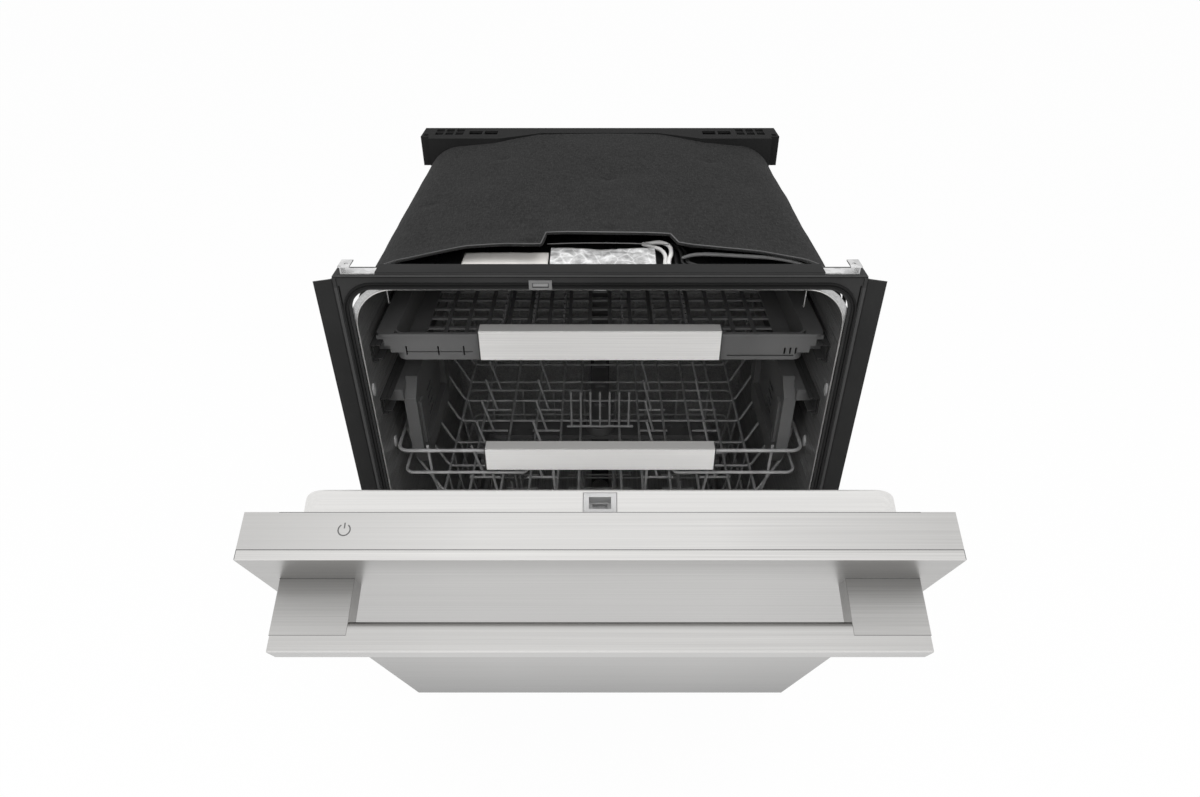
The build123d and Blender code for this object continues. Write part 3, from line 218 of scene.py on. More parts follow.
def turned(profile, place, axis, sides=24):
    # a profile of (radius, height) spun about an axis through a place
    profile = np.array(profile, float)
    axis = np.array(axis, float) / np.linalg.norm(axis)
    helper = np.array([1.0, 0, 0]) if abs(axis[0]) < 0.9 else np.array([0, 1.0, 0])
    side = np.cross(axis, helper)
    side /= np.linalg.norm(side)
    other = np.cross(axis, side)
    a = np.linspace(0, 2 * np.pi, sides, endpoint=False)
    ring = np.cos(a)[:, None] * side + np.sin(a)[:, None] * other
    points = np.array(place, float) + profile[:, :1, None] * ring[None] + profile[:, 1:, None] * axis
    return surface(points, wrapCols=True, capped=True)


swing = {"y": 0.019, "z": 0.165, "angle": 26.4}  # door hinge line, and how far the door stands open


def onDoor(patch):
    # a patch written for the closed door, turned with it
    points, faces = patch
    a = math.radians(swing["angle"])
    dy, dz = points[:, 1] - swing["y"], points[:, 2] - swing["z"]
    moved = points.copy()
    moved[:, 1] = swing["y"] + dy * math.cos(a) - dz * math.sin(a)
    moved[:, 2] = swing["z"] + dy * math.sin(a) + dz * math.cos(a)
    return moved, faces


def mirrored(patch):
    # a patch on the other side of the centre line, its faces wound the other way
    points, faces = patch
    return points * np.array([-1.0, 1.0, 1.0]), [face[::-1] for face in faces]


def hashed(*cells):
    # an even, seeded mix of whole numbers to values from 0 to 1
    total = np.zeros(np.broadcast(*cells).shape)
    for k, cell in enumerate(cells):
        total = total + np.asarray(cell, float) * (12.9898 + 65.237 * k)
    value = np.sin(total) * 43758.5453
    return value - np.floor(value)


def lumps(x, y, size, seed=0.0):
    # smooth value noise over x and y: hashed corners of square cells, eased between
    gx, gy = x / size, y / size
    ix, iy = np.floor(gx), np.floor(gy)
    fx, fy = gx - ix, gy - iy
    fx, fy = fx * fx * (3 - 2 * fx), fy * fy * (3 - 2 * fy)
    low = hashed(ix, iy, seed) * (1 - fx) + hashed(ix + 1, iy, seed) * fx
    high = hashed(ix, iy + 1, seed) * (1 - fx) + hashed(ix + 1, iy + 1, seed) * fx
    return low * (1 - fy) + high * fy


# effects that several finishes share

def scaled(tree, vector, factors):
    # a vector multiplied part by part
    return addNode(tree, "ShaderNodeVectorMath", {0: vector, 1: factors}, operation="MULTIPLY").outputs[0]


def noise(tree, where, scale, detail=2.0, **more):
    # the outputs of a noise texture
    inputs = {"Vector": where, "Scale": scale, "Detail": detail, **more}
    return addNode(tree, "ShaderNodeTexNoise", inputs).outputs


def rangeOf(tree, socket, low, high, fromLow=0.0, fromHigh=1.0):
    # a value mapped from one range to another
    inputs = {0: socket, 1: fromLow, 2: fromHigh, 3: low, 4: high}
    return addNode(tree, "ShaderNodeMapRange", inputs).outputs[0]


def newGroup(name, inputs, outputs):
    # an empty shader group with named sockets, its entry and its exit
    group = bpy.data.node_groups.new(name, "ShaderNodeTree")
    for label, kind, value in inputs:
        made = group.interface.new_socket(label, in_out="INPUT", socket_type=kind)
        made.default_value = value
    for label in outputs:
        group.interface.new_socket(label, in_out="OUTPUT", socket_type="NodeSocketFloat")
    return group, addNode(group, "NodeGroupInput"), addNode(group, "NodeGroupOutput")


def makeBrushedGroup():
    # long fine streaks: noise squeezed across the grain, two sizes mixed, and slow tone drift
    group, entry, leave = newGroup("brushedGrain", [
        ("Vector", "NodeSocketVector", (0, 0, 0)), ("Stretch", "NodeSocketVector", (1, 300, 300)),
        ("Drift", "NodeSocketFloat", 3.0)], ["Streaks", "Fine", "Drift"])
    where = entry.outputs["Vector"]
    squeezed = scaled(group, where, entry.outputs["Stretch"])
    finer = scaled(group, squeezed, (2.3, 3.7, 3.7))
    for label, made in (("Streaks", noise(group, squeezed, 1.0, 3.0, Roughness=0.6)),
                        ("Fine", noise(group, finer, 1.0)),
                        ("Drift", noise(group, where, entry.outputs["Drift"]))):
        group.links.new(made[0], leave.inputs[label])
    return group


def makeMouldGroup():
    # moulded plastic: a fine leathery grain, a slow drift, and scattered paler scuffs
    group, entry, leave = newGroup("mouldGrain", [
        ("Vector", "NodeSocketVector", (0, 0, 0)), ("Grain", "NodeSocketFloat", 900.0),
        ("Scuffs", "NodeSocketFloat", 26.0)], ["Grain", "Drift", "Scuffs"])
    where = entry.outputs["Vector"]
    grain = addNode(group, "ShaderNodeTexVoronoi", {"Vector": where, "Scale": entry.outputs["Grain"]},
                    feature="SMOOTH_F1")
    bent = noise(group, where, entry.outputs["Scuffs"], 5.0, Roughness=0.7, Distortion=1.5)[0]
    for label, made in (("Grain", grain.outputs["Distance"]),
                        ("Drift", noise(group, where, 9.0, 3.0)[0]),
                        ("Scuffs", rangeOf(group, bent, 0.0, 1.0, 0.60, 0.74))):
        group.links.new(made, leave.inputs[label])
    return group


brushedGroup = makeBrushedGroup()
mouldGroup = makeMouldGroup()


def startFinish(name):
    # a new material: its tree, its Principled shader, its object coordinates
    finish = bpy.data.materials.new(name)
    finish.use_nodes = True
    tree = finish.node_tree
    shader = tree.nodes["Principled BSDF"]
    where = addNode(tree, "ShaderNodeTexCoord").outputs["Object"]
    return finish, tree, shader, where


def setShader(shader, **values):
    # the shader's own inputs, each a constant or a socket
    for key, value in values.items():
        entry = shader.inputs[key.replace("_", " ")]
        if isinstance(value, bpy.types.NodeSocket):
            shader.id_data.links.new(value, entry)
        else:
            entry.default_value = value


def mixColour(tree, factor, first, second, blend="MIX"):
    # two colours mixed by a factor
    return addNode(tree, "ShaderNodeMix", {0: factor, 6: first, 7: second}, data_type="RGBA",
                   blend_type=blend).outputs[2]


def addBump(tree, shader, height, strength, distance):
    # a bump from a height that changes over the surface
    made = addNode(tree, "ShaderNodeBump", {"Strength": strength, "Distance": distance, "Height": height})
    tree.links.new(made.outputs[0], shader.inputs["Normal"])


def grouped(tree, group, inputs):
    # the outputs of a group placed in a material
    return addNode(tree, "ShaderNodeGroup", inputs, node_tree=group).outputs


def between(tree, value, low, high):
    # 1 where value lies from low to high
    return calc(tree, "COMPARE", value, (low + high) / 2, (high - low) / 2)


def placesOf(tree, where):
    # distance from the middle, depth and height of a point
    x, y, z = addNode(tree, "ShaderNodeSeparateXYZ", {0: where}).outputs
    return calc(tree, "ABSOLUTE", x), y, z


def doorPlaces(tree, where):
    # depth, height and distance from the middle on the closed door, for a point on the door as it stands
    across, y, z = placesOf(tree, where)
    dy, dz = calc(tree, "SUBTRACT", y, swing["y"]), calc(tree, "SUBTRACT", z, swing["z"])
    along, over = math.cos(math.radians(swing["angle"])), math.sin(math.radians(swing["angle"]))
    depth = calc(tree, "MULTIPLY_ADD", dz, over, calc(tree, "MULTIPLY_ADD", dy, along, swing["y"]))
    height = calc(tree, "MULTIPLY_ADD", dy, -over, calc(tree, "MULTIPLY_ADD", dz, along, swing["z"]))
    return depth, height, across


def shadeDoor(tree, colour, where, steps):
    # a door piece's colour times ramps of painted shade and painted highlight; a step is (which place, from,
    # to, shade at from, shade at to)
    places = doorPlaces(tree, where)
    for which, start, end, low, high in steps:
        shade = rangeOf(tree, places[which], low, high, start, end)
        shades = addNode(tree, "ShaderNodeCombineXYZ", {0: shade, 1: shade, 2: shade}).outputs[0]
        colour = mixColour(tree, 1.0, colour, shades, "MULTIPLY")
    return colour


def brushedFinish(name, dark, light, rough=(0.30, 0.40), stretch=(2.0, 420.0, 420.0), warmth=1.0, bump=0.05,
                  metallic=1.0, steps=(), folds=None):
    # brushed metal between two display greys, streaked along its grain; steps paint shade and highlight on
    # the door; folds is (height, painted shade above it)
    finish, tree, shader, where = startFinish(name)
    grain = grouped(tree, brushedGroup, {"Vector": where, "Stretch": stretch, "Drift": 2.4})
    tone = rangeOf(tree, calc(tree, "ADD", grain["Streaks"], grain["Fine"]), 0.0, 1.0, 0.72, 1.28)
    slow = rangeOf(tree, grain["Drift"], 0.0, 1.0, 0.35, 0.65)
    base = mixColour(tree, tone, grey(dark, warmth), grey(light, warmth))
    base = mixColour(tree, slow, base, mixColour(tree, 0.5, base, grey(light, warmth)))
    # painted shade and painted highlight, ramped by place on the closed door
    if steps:
        base = shadeDoor(tree, base, where, steps)
    # painted shade: the top face above the fold is darker
    if folds:
        above = calc(tree, "GREATER_THAN", placesOf(tree, where)[2], folds[0])
        base = mixColour(tree, above, base, grey(dark * folds[1], warmth))
    setShader(shader, Base_Color=base, Metallic=metallic,
              Roughness=rangeOf(tree, grain["Fine"], rough[0], rough[1], 0.3, 0.7))
    addBump(tree, shader, grain["Streaks"], bump, 0.0004)
    return finish


def plasticFinish(name, tone, spread=5, rough=0.45, grain=900.0, bump=0.12, scuff=10, specular=0.5,
                  warmth=0.0, zones=(), ior=1.5):
    # moulded plastic or rubber round a display grey, with grain, drift and a few scuffs; a zone is
    # (range of distance from the middle, range of height, display grey); the zones paint bands of highlight
    # and shade
    finish, tree, shader, where = startFinish(name)
    mould = grouped(tree, mouldGroup, {"Vector": where, "Grain": grain})
    base = mixColour(tree, rangeOf(tree, mould["Drift"], 0.0, 1.0, 0.35, 0.65), grey(tone - spread, warmth),
                     grey(tone + spread, warmth))
    base = mixColour(tree, calc(tree, "MULTIPLY", mould["Scuffs"], 0.35), base, grey(tone + scuff, warmth))
    # painted highlight and painted shade in bands
    for acrossRange, heightRange, zoneTone in zones:
        across, _, height = placesOf(tree, where)
        here = calc(tree, "MULTIPLY", between(tree, across, *acrossRange),
                    between(tree, height, *heightRange))
        base = mixColour(tree, here, base, grey(zoneTone, warmth))
    setShader(shader, Base_Color=base, Specular_IOR_Level=specular, IOR=ior,
              Roughness=rangeOf(tree, mould["Drift"], rough - 0.05, rough + 0.06, 0.35, 0.65))
    addBump(tree, shader, mould["Grain"], bump, 0.0004)
    return finish


def zincFinish(name, dark, light):
    # galvanised sheet: crystal patches of slightly different grey, dulled by a fine mottling
    finish, tree, shader, where = startFinish(name)
    bent = noise(tree, where, 60.0)
    moved = scaled(tree, bent["Color"], (0.012, 0.012, 0.012))
    place = addNode(tree, "ShaderNodeVectorMath", {0: where, 1: moved}, operation="ADD").outputs[0]
    patches = addNode(tree, "ShaderNodeTexVoronoi", {"Vector": place, "Scale": 130.0})
    tone = addNode(tree, "ShaderNodeSeparateColor", {0: patches.outputs["Color"]}).outputs[0]
    setShader(shader, Base_Color=mixColour(tree, tone, grey(dark), grey(light)), Metallic=0.85,
              Roughness=rangeOf(tree, tone, 0.38, 0.55))
    addBump(tree, shader, bent[0], 0.08, 0.0005)
    return finish


# the pusher's recess: a dark rim round it is painted shadow, its lighter inside is painted light
pusherTop = {"z": (0.827, 0.832), "rim": 0.0004, "inset": 0.0005}


finishes = {
    # door panel: painted reflection of the shaded floor, darker towards the bottom; a painted highlight along
    # the top edge; painted shade darker towards both ends
    "panelSteel": brushedFinish("panelSteel", 178, 200, (0.30, 0.38), (2.0, 420.0, 420.0), steps=(
        (1, 0.11, 0.52, 0.40, 1.0), (1, 0.8475, 0.8479, 1.0, 1.42), (2, 0.13, 0.29, 1.0, 0.87))),
    # console top: painted shade, darker towards both ends
    "stripSteel": brushedFinish("stripSteel", 210, 226, (0.36, 0.46), (2.0, 520.0, 520.0), steps=(
        (2, 0.10, 0.29, 1.0, 0.80),)),
    # handle bar: painted shade on its lower part, a painted highlight on its outer edge, painted shade darker
    # towards the door and darker towards both ends
    "barSteel": brushedFinish("barSteel", 196, 216, (0.28, 0.36), (2.0, 460.0, 460.0), steps=(
        (1, 0.7912, 0.7916, 0.74, 1.0), (0, -0.1058, -0.1052, 1.12, 1.0), (0, -0.0890, -0.0815, 1.0, 0.60),
        (2, 0.14, 0.31, 1.0, 0.88))),
    # handle brackets: painted shade, darker towards the panel they stand on
    "bracketSteel": brushedFinish("bracketSteel", 190, 212, (0.28, 0.36), (2.0, 460.0, 460.0), steps=(
        (0, -0.092, -0.044, 0.88, 0.50),)),
    # tray handle: a pale, barely metallic base painted in place of steel's bright reflection; painted shade
    # on the top face above the fold
    "trayHandleSteel": brushedFinish("trayHandleSteel", 216, 238, (0.34, 0.44), (3.0, 600.0, 600.0),
                                     metallic=0.2, folds=(0.7447, 0.92)),
    # rack handle: paler still and barely metallic, painted light that makes up for the shade in the tub and
    # for steel's reflection; painted shade on the top face above the fold
    "rackHandleSteel": brushedFinish("rackHandleSteel", 244, 254, (0.38, 0.48), (3.0, 600.0, 600.0),
                                     metallic=0.1, folds=(0.5597, 0.76)),
    "plugSteel": brushedFinish("plugSteel", 218, 234, (0.40, 0.50), (2.0, 420.0, 420.0)),
    "zinc": zincFinish("zinc", 190, 228),
    # frame: painted shade darker on the top faces; a painted highlight along the bead with a painted shadow
    # line under it; on each side a painted highlight band with a painted shadow line beside it, nearer the
    # middle
    "framePlastic": plasticFinish("framePlastic", 54, 3, 0.46, 1100.0, 0.10, 8, 0.12, ior=1.2, zones=(
        ((0, 0.31), (0.8450, 0.86), 40), ((0, 0.31), (0.8398, 0.8416), 74), ((0, 0.31), (0.8388, 0.8398), 30),
        ((0.2955, 0.31), (0.12, 0.826), 66), ((0.2936, 0.2955), (0.12, 0.828), 20))),
    "gasketRubber": plasticFinish("gasketRubber", 24, 3, 0.62, 700.0, 0.15, 10, 0.15),
    "trimRubber": plasticFinish("trimRubber", 36, 3, 0.50, 700.0, 0.12, 12, 0.22),
    "braceGrey": plasticFinish("braceGrey", 34, 3, 0.52, 800.0, 0.15, 10, 0.06, ior=1.2),
    "adjusterPlastic": plasticFinish("adjusterPlastic", 86, 6, 0.42, 900.0, 0.10, 14),
    "railSteel": plasticFinish("railSteel", 52, 5, 0.40, 900.0, 0.06, 14, 0.3),
    "rackPlastic": plasticFinish("rackPlastic", 88, 5, 0.42, 900.0, 0.10, 12),
    "darkPlastic": plasticFinish("darkPlastic", 58, 5, 0.45, 900.0, 0.12, 12),
    # pusher: painted shadow along the recess's rim, painted light inside it
    "pusherGrey": plasticFinish("pusherGrey", 112, 4, 0.40, 900.0, 0.08, 10, zones=(
        ((0.0577, 0.0763), (pusherTop["z"][0] - pusherTop["rim"], pusherTop["z"][1] + pusherTop["rim"]), 52),
        ((0.0585, 0.0755), (pusherTop["z"][0] + pusherTop["inset"], pusherTop["z"][1] - pusherTop["inset"]),
         142))),
    # latch housing: lighter than the other housings, painted light that makes up for the shade in its recess
    "latchGrey": plasticFinish("latchGrey", 172, 4, 0.40, 900.0, 0.08, 10),
    "housingGrey": plasticFinish("housingGrey", 158, 4, 0.40, 900.0, 0.08, 10),
    "pumpWhite": plasticFinish("pumpWhite", 206, 6, 0.42, 700.0, 0.10, -14, warmth=1.5),
    "footGrey": plasticFinish("footGrey", 96, 6, 0.48, 700.0, 0.12, 14),
    "springWire": brushedFinish("springWire", 130, 168, (0.28, 0.40), (160.0, 160.0, 160.0), 0.0),
    "armSteel": brushedFinish("armSteel", 168, 200, (0.26, 0.34), (3.0, 380.0, 380.0), 0.0),
}


# tub steel tones: inside is the darker one, painted shade, outside the lighter one, painted light;
# shadeAcross and shadeHeight bound the painted shade on the front edge
tubLook = {"wall": 0.2845, "front": 0.0058, "back": 0.5265, "top": 0.8215, "coatFrom": 0.022, "coat": 44,
           "shadeAcross": (0, 0.252), "shadeHeight": (0.7, 0.8215), "inside": (140, 172),
           "outside": (176, 200)}


def tubFinish():
    # tub steel: lighter at the folded front edge, painted light, but for the edge's middle under the frame,
    # kept darker as painted shade;
    # darker inside, painted shade; black damping coat outside
    finish, tree, shader, where = startFinish("tubSteel")
    grain = grouped(tree, brushedGroup, {"Vector": where, "Stretch": (300.0, 3.0, 300.0), "Drift": 3.0})
    across, depth, height = placesOf(tree, where)
    # painted light: the front edge, and the faces beyond the walls, behind the back and above the top, take
    # the lighter outside tone
    edge = calc(tree, "LESS_THAN", depth, tubLook["front"])
    bright = calc(tree, "GREATER_THAN", across, tubLook["wall"])
    for part in (edge, calc(tree, "GREATER_THAN", depth, tubLook["back"]),
                 calc(tree, "GREATER_THAN", height, tubLook["top"])):
        bright = calc(tree, "MAXIMUM", bright, part)
    # painted shade: the middle of the front edge, under the frame, keeps the darker inside tone
    shaded = calc(tree, "MULTIPLY", between(tree, across, *tubLook["shadeAcross"]),
                  between(tree, height, *tubLook["shadeHeight"]))
    bright = calc(tree, "SUBTRACT", bright, calc(tree, "MULTIPLY", shaded, edge), use_clamp=True)
    tone = rangeOf(tree, grain["Streaks"], 0.0, 1.0, 0.3, 0.7)
    inside, outside = (mixColour(tree, tone, *map(grey, tubLook[side])) for side in ("inside", "outside"))
    coated = calc(tree, "GREATER_THAN", depth, tubLook["coatFrom"])
    outside = mixColour(tree, coated, outside, grey(tubLook["coat"]))
    setShader(shader, Base_Color=mixColour(tree, bright, inside, outside), Metallic=0.75,
              Roughness=rangeOf(tree, grain["Fine"], 0.26, 0.36, 0.3, 0.7))
    addBump(tree, shader, grain["Streaks"], 0.04, 0.0004)
    return finish


def wireFinish():
    # nylon coated wire: a soft grey coat with a slightly uneven, dipped surface
    finish, tree, shader, where = startFinish("coatedWire")
    dip = noise(tree, where, 55.0, 3.0)[0]
    base = mixColour(tree, rangeOf(tree, dip, 0.0, 1.0, 0.35, 0.65), grey(136), grey(158))
    setShader(shader, Base_Color=base, Roughness=rangeOf(tree, noise(tree, where, 700.0)[0], 0.30, 0.42),
              Coat_Weight=0.35, Coat_Roughness=0.25)
    addBump(tree, shader, dip, 0.10, 0.0006)
    return finish


def feltFinish():
    # pressed felt: crossed fibres, small clumps, and a paler bloom where the nap stands up
    finish, tree, shader, where = startFinish("darkFelt")
    fibre = 0.0
    for turn, scale in ((0.5, 900.0), (-0.7, 760.0), (1.4, 840.0)):
        spun = addNode(tree, "ShaderNodeMapping", {"Vector": where, "Rotation": (0.4, 0.3, turn),
                                                  "Scale": (scale, scale * 0.12, scale)})
        fibre = calc(tree, "MAXIMUM", fibre, noise(tree, spun.outputs[0], 1.0, 1.0)[0])
    clump = noise(tree, where, 190.0, 4.0, Roughness=0.7)[0]
    bloom = noise(tree, where, 11.0, 3.0)[0]
    base = mixColour(tree, rangeOf(tree, clump, 0.0, 1.0, 0.32, 0.68), grey(25), grey(44))
    base = mixColour(tree, rangeOf(tree, bloom, 0.0, 0.5, 0.4, 0.7), base, grey(42))
    base = mixColour(tree, rangeOf(tree, fibre, 0.0, 0.45, 0.55, 0.85), base, grey(68))
    setShader(shader, Base_Color=base, Roughness=0.95, Specular_IOR_Level=0.05, Sheen_Weight=0.03,
              Sheen_Roughness=0.5)
    addBump(tree, shader, calc(tree, "ADD", clump, fibre), 0.45, 0.0012)
    return finish


def paperFinish():
    # pale card with two faint pressed rings and slight soiling
    finish, tree, shader, where = startFinish("paleCard")
    soil = noise(tree, where, 40.0, 4.0)[0]
    base = mixColour(tree, rangeOf(tree, soil, 0.0, 1.0, 0.4, 0.7), grey(252, 3), grey(242, 3))
    for x in (-0.129, -0.094):
        away = addNode(tree, "ShaderNodeVectorMath", {0: where, 1: (x, 0.052, 0.826)}, operation="DISTANCE")
        ring = calc(tree, "COMPARE", away.outputs["Value"], 0.0085, 0.0012)
        base = mixColour(tree, ring, base, grey(218, 2))
    setShader(shader, Base_Color=base, Roughness=0.7)
    addBump(tree, shader, soil, 0.1, 0.0005)
    return finish


def filmFinish():
    # crumpled clear film over pale leaflets: broad grey mottling, and creases lightened as a painted
    # highlight
    finish, tree, shader, where = startFinish("crumpledFilm")
    mottle = noise(tree, where, 70.0, 5.0, Roughness=0.65)[0]
    folds = addNode(tree, "ShaderNodeTexVoronoi", {"Vector": where, "Scale": 55.0},
                    feature="DISTANCE_TO_EDGE")
    creaseHighlight = rangeOf(tree, folds.outputs["Distance"], 1.0, 0.0, 0.0, 0.08)
    base = mixColour(tree, rangeOf(tree, mottle, 0.0, 1.0, 0.38, 0.66), grey(150), grey(224))
    # painted highlight: the creases are lighter
    base = mixColour(tree, calc(tree, "MULTIPLY", creaseHighlight, 0.5), base, grey(244))
    setShader(shader, Base_Color=base, Roughness=0.28, Coat_Weight=0.6, Coat_Roughness=0.12)
    addBump(tree, shader, mottle, 0.5, 0.002)
    return finish


finishes["tubSteel"] = tubFinish()
finishes["coatedWire"] = wireFinish()
finishes["darkFelt"] = feltFinish()
finishes["paleCard"] = paperFinish()
finishes["crumpledFilm"] = filmFinish()
finishes["cableBlack"] = plasticFinish("cableBlack", 26, 3, 0.42, 600.0, 0.08, 12)
finishes["cableWhite"] = plasticFinish("cableWhite", 224, 5, 0.38, 600.0, 0.06, -16, warmth=1.0)
# felt edges: pale grey, a painted highlight along the blanket's edges
finishes["feltEdgeHighlight"] = plasticFinish("feltEdgeHighlight", 96, 10, 0.9, 1500.0, 0.5, 14, 0.05)
finishes["printGrey"] = plasticFinish("printGrey", 84, 3, 0.5, 900.0, 0.02, 6)
finishes["seamDark"] = plasticFinish("seamDark", 70, 3, 0.6, 900.0, 0.05, 6)
print("finishes made:", len(finishes))

nodeFinishes = {
    "panelSteel": ["door_panel"],
    "stripSteel": ["control_strip"],
    "barSteel": ["handle_bar"],
    "bracketSteel": ["handle_bracket_right", "handle_bracket_left"],
    "trayHandleSteel": ["tray_handle"],
    "rackHandleSteel": ["upper_handle", "lower_handle"],
    "plugSteel": ["door_liner"],
    "tubSteel": ["tub"],
    "armSteel": ["lower_spray_arm", "filter_screen"],
    "zinc": ["worktop_brackets", "latch_strike", "junction_box", "hinge_mounts", "hinge_arms"],
    "railSteel": ["tray_rail_outers", "tray_rails", "upper_rail_outers", "upper_rails"],
    "framePlastic": ["front_frame", "access_panel", "base_pan"],
    "gasketRubber": ["tub_gasket", "bottom_seal"],
    "trimRubber": ["side_trim_right", "side_trim_left"],
    "braceGrey": ["rear_brace"],
    "rackPlastic": ["tray_frame", "tray_inserts", "upper_spray_feed", "upper_spray_arm", "lower_wheels_front",
                    "lower_wheels_rear"],
    "adjusterPlastic": ["height_adjusters"],
    "coatedWire": ["upper_basket", "upper_tines", "lower_basket"],
    "pusherGrey": ["door_pusher"],
    "latchGrey": ["latch_housing"],
    "housingGrey": ["dispenser_body", "dispenser_lid", "rinse_aid_cap"],
    "pumpWhite": ["circulation_pump", "drain_pump", "inlet_valve"],
    "darkPlastic": ["sump", "filter_cup", "spray_conduit", "top_nozzle"],
    "footGrey": ["leg_front_left", "leg_front_right", "leg_rear_left", "leg_rear_right"],
    "springWire": ["door_springs"],
    "darkFelt": ["insulation_blanket", "door_insulation"],
    "paleCard": ["document_pouch"],
    "cableBlack": ["wiring_harness"],
}
for finishName, names in nodeFinishes.items():
    for nodeName in names:
        mesh = cadNodes[nodeName].data
        mesh.materials.clear()
        mesh.materials.append(finishes[finishName])
print("finishes placed on the packed parts")

# insulation blanket: felt draped over the tub
blanket = {
    "half": 0.2935, "low": 0.206, "shoulder": 0.836, "round": 0.066, "crown": 0.0115, "skin": 0.006,
    "front": ((-0.310, 0.031), (-0.252, 0.037), (-0.212, 0.051), (-0.160, 0.068), (-0.110, 0.0675),
              (-0.070, 0.0645), (-0.0655, 0.098), (0.0855, 0.0965), (0.0935, 0.072), (0.120, 0.066),
              (0.150, 0.0615), (0.190, 0.058), (0.224, 0.050), (0.253, 0.041), (0.310, 0.031)),
    "back": ((-0.310, 0.5035), (-0.172, 0.5035), (-0.104, 0.5345), (0.104, 0.5345), (0.172, 0.5035),
             (0.310, 0.5035)),
    "side": 0.31,  # where the sides read the front and back lines
    "notch": (-0.0702, -0.0698, -0.0655, -0.065, 0.085, 0.0855, 0.0932, 0.0938),
    "pins": ((0.011, 0.312), (-0.236, 0.239), (0.013, 0.123), (-0.084, 0.083), (0.110, 0.080),
             (-0.150, 0.420), (0.170, 0.410)),
    "dents": ((0.0024, 0.007), (0.0012, 0.022)),  # depth and width at each pin
    "waves": ((0.0016, 0.11, 3.0), (0.0009, 0.037, 7.0)),  # height, length, seed
    "sunk": 0.0022, "turnedUp": (0.0012, 0.006), "columns": 300, "rows": 130, "bunched": 0.175,
    "thinEdge": 0.30, "edgeReach": 0.060,
}


def archRuns():
    # lengths of the arch's side, corner and crest
    r = blanket["round"]
    return blanket["shoulder"] - r - blanket["low"], r * np.pi / 2, 2 * (blanket["half"] - r)


def blanketPoints(s, y, lift):
    # the tub's arch at arc length s: side, corner, shallow crest, corner, side, moved out by lift
    half, r = blanket["half"], blanket["round"]
    side, bend, crest = archRuns()
    a = np.clip((s - side) / r, 0, np.pi / 2)
    b = np.clip((s - side - bend - crest) / r, 0, np.pi / 2)
    across = np.clip(s - side - bend, 0, crest)
    down = np.clip(s - side - 2 * bend - crest, 0, side)
    x = -half + r * (1 - np.cos(a)) + across + r * np.sin(b)
    z = blanket["low"] + np.clip(s, 0, side) + r * np.sin(a) - r * (1 - np.cos(b)) - down
    share = x / (half - r)
    crowned = np.where(np.abs(share) < 1, blanket["crown"] * (1 - share**2), 0.0)
    outX = np.where(s < side + bend, -np.cos(a), 0) + np.where(b > 0, np.sin(b), 0)
    outZ = np.where(b > 0, np.cos(b), np.sin(a))
    return np.stack([x + outX * lift, y, z + crowned + outZ * lift], -1)


def makeBlanket():
    # rows run from the front edge to the back edge, columns along the arch, with soft waves and pin
    # dimples; returns the front edge's upper line over the crest
    side, bend, crest = archRuns()
    total = 2 * side + 2 * bend + crest
    s = np.concatenate([np.linspace(0, total, blanket["columns"]), total / 2 + np.array(blanket["notch"])])
    s = np.unique(s)
    x = blanketPoints(s, 0 * s, 0.0)[:, 0]
    x = np.where(s < side, -blanket["side"], np.where(s > total - side, blanket["side"], x))
    front = np.interp(x, *np.array(blanket["front"]).T)
    back = np.interp(x, *np.array(blanket["back"]).T)
    v = np.linspace(0, 1, blanket["rows"])[:, None]
    v = v - blanket["bunched"] * np.sin(2 * np.pi * v) / (2 * np.pi)
    y = front + (back - front) * v
    grid = np.broadcast_to(s, y.shape)
    lift = -blanket["sunk"]
    for high, size, seed in blanket["waves"]:
        lift = lift + high * (lumps(grid, y, size, seed) - 0.5)
    onTop = np.clip((grid - side) / bend, 0, 1) * np.clip((total - side - grid) / bend, 0, 1)
    xs = blanketPoints(grid, y, 0.0)[..., 0]
    for px, py in blanket["pins"]:
        away = (xs - px) ** 2 + (y - py) ** 2
        for deep, wide in blanket["dents"]:
            lift = lift - deep * onTop * np.exp(-away / wide**2)
    high, reach = blanket["turnedUp"]
    lift = lift + high * onTop * np.exp((front - y) / reach)
    thin = blanket["thinEdge"]
    thick = thin + (1 - thin) * np.clip((y - front) / blanket["edgeReach"], 0, 1) ** 0.7
    thick = 1 - (1 - thick) * np.clip(onTop * 1.6 - 0.5, 0, 1)
    points = blanketPoints(grid, y, lift + blanket["skin"] * (1 - thick))
    piece = makePiece("blanket", [surface(points)], finishes["darkFelt"], "cabinet", closed=False,
                      angle=70.0)
    weights = piece.vertex_groups.new(name="feltDepth")
    flatThick = np.round(thick.ravel(), 2)
    for value in np.unique(flatThick):
        weights.add(np.flatnonzero(flatThick == value).tolist(), float(value), "REPLACE")
    wall = piece.modifiers.new("feltThickness", "SOLIDIFY")
    wall.thickness = blanket["skin"]
    wall.offset = 1.0
    wall.vertex_group = "feltDepth"
    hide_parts("insulation_blanket")
    overCrest = (s > side + 0.4 * bend) & (s < total - side - 0.4 * bend)
    return blanketPoints(s, front, lift[0] + blanket["skin"])[overCrest]


hem = {
    "rim": (0.0007, 0.0005, 0.0004, 3), "drop": (0, -0.0002, -0.0003),
    "second": ((-64, 92, 838.6), (-30, 91.5, 840), (20, 92, 840), (84, 90, 838.6)),
    "roll": (0.0018, 0.0026, 0.0016, 5),
    "rolled": ((97, 60, 834.5), (108, 66, 835.5), (122, 68, 836), (140, 66, 836.4), (169, 60, 837),
               (205, 56, 836.6), (230, 50, 834), (248, 43, 829.5)),
}


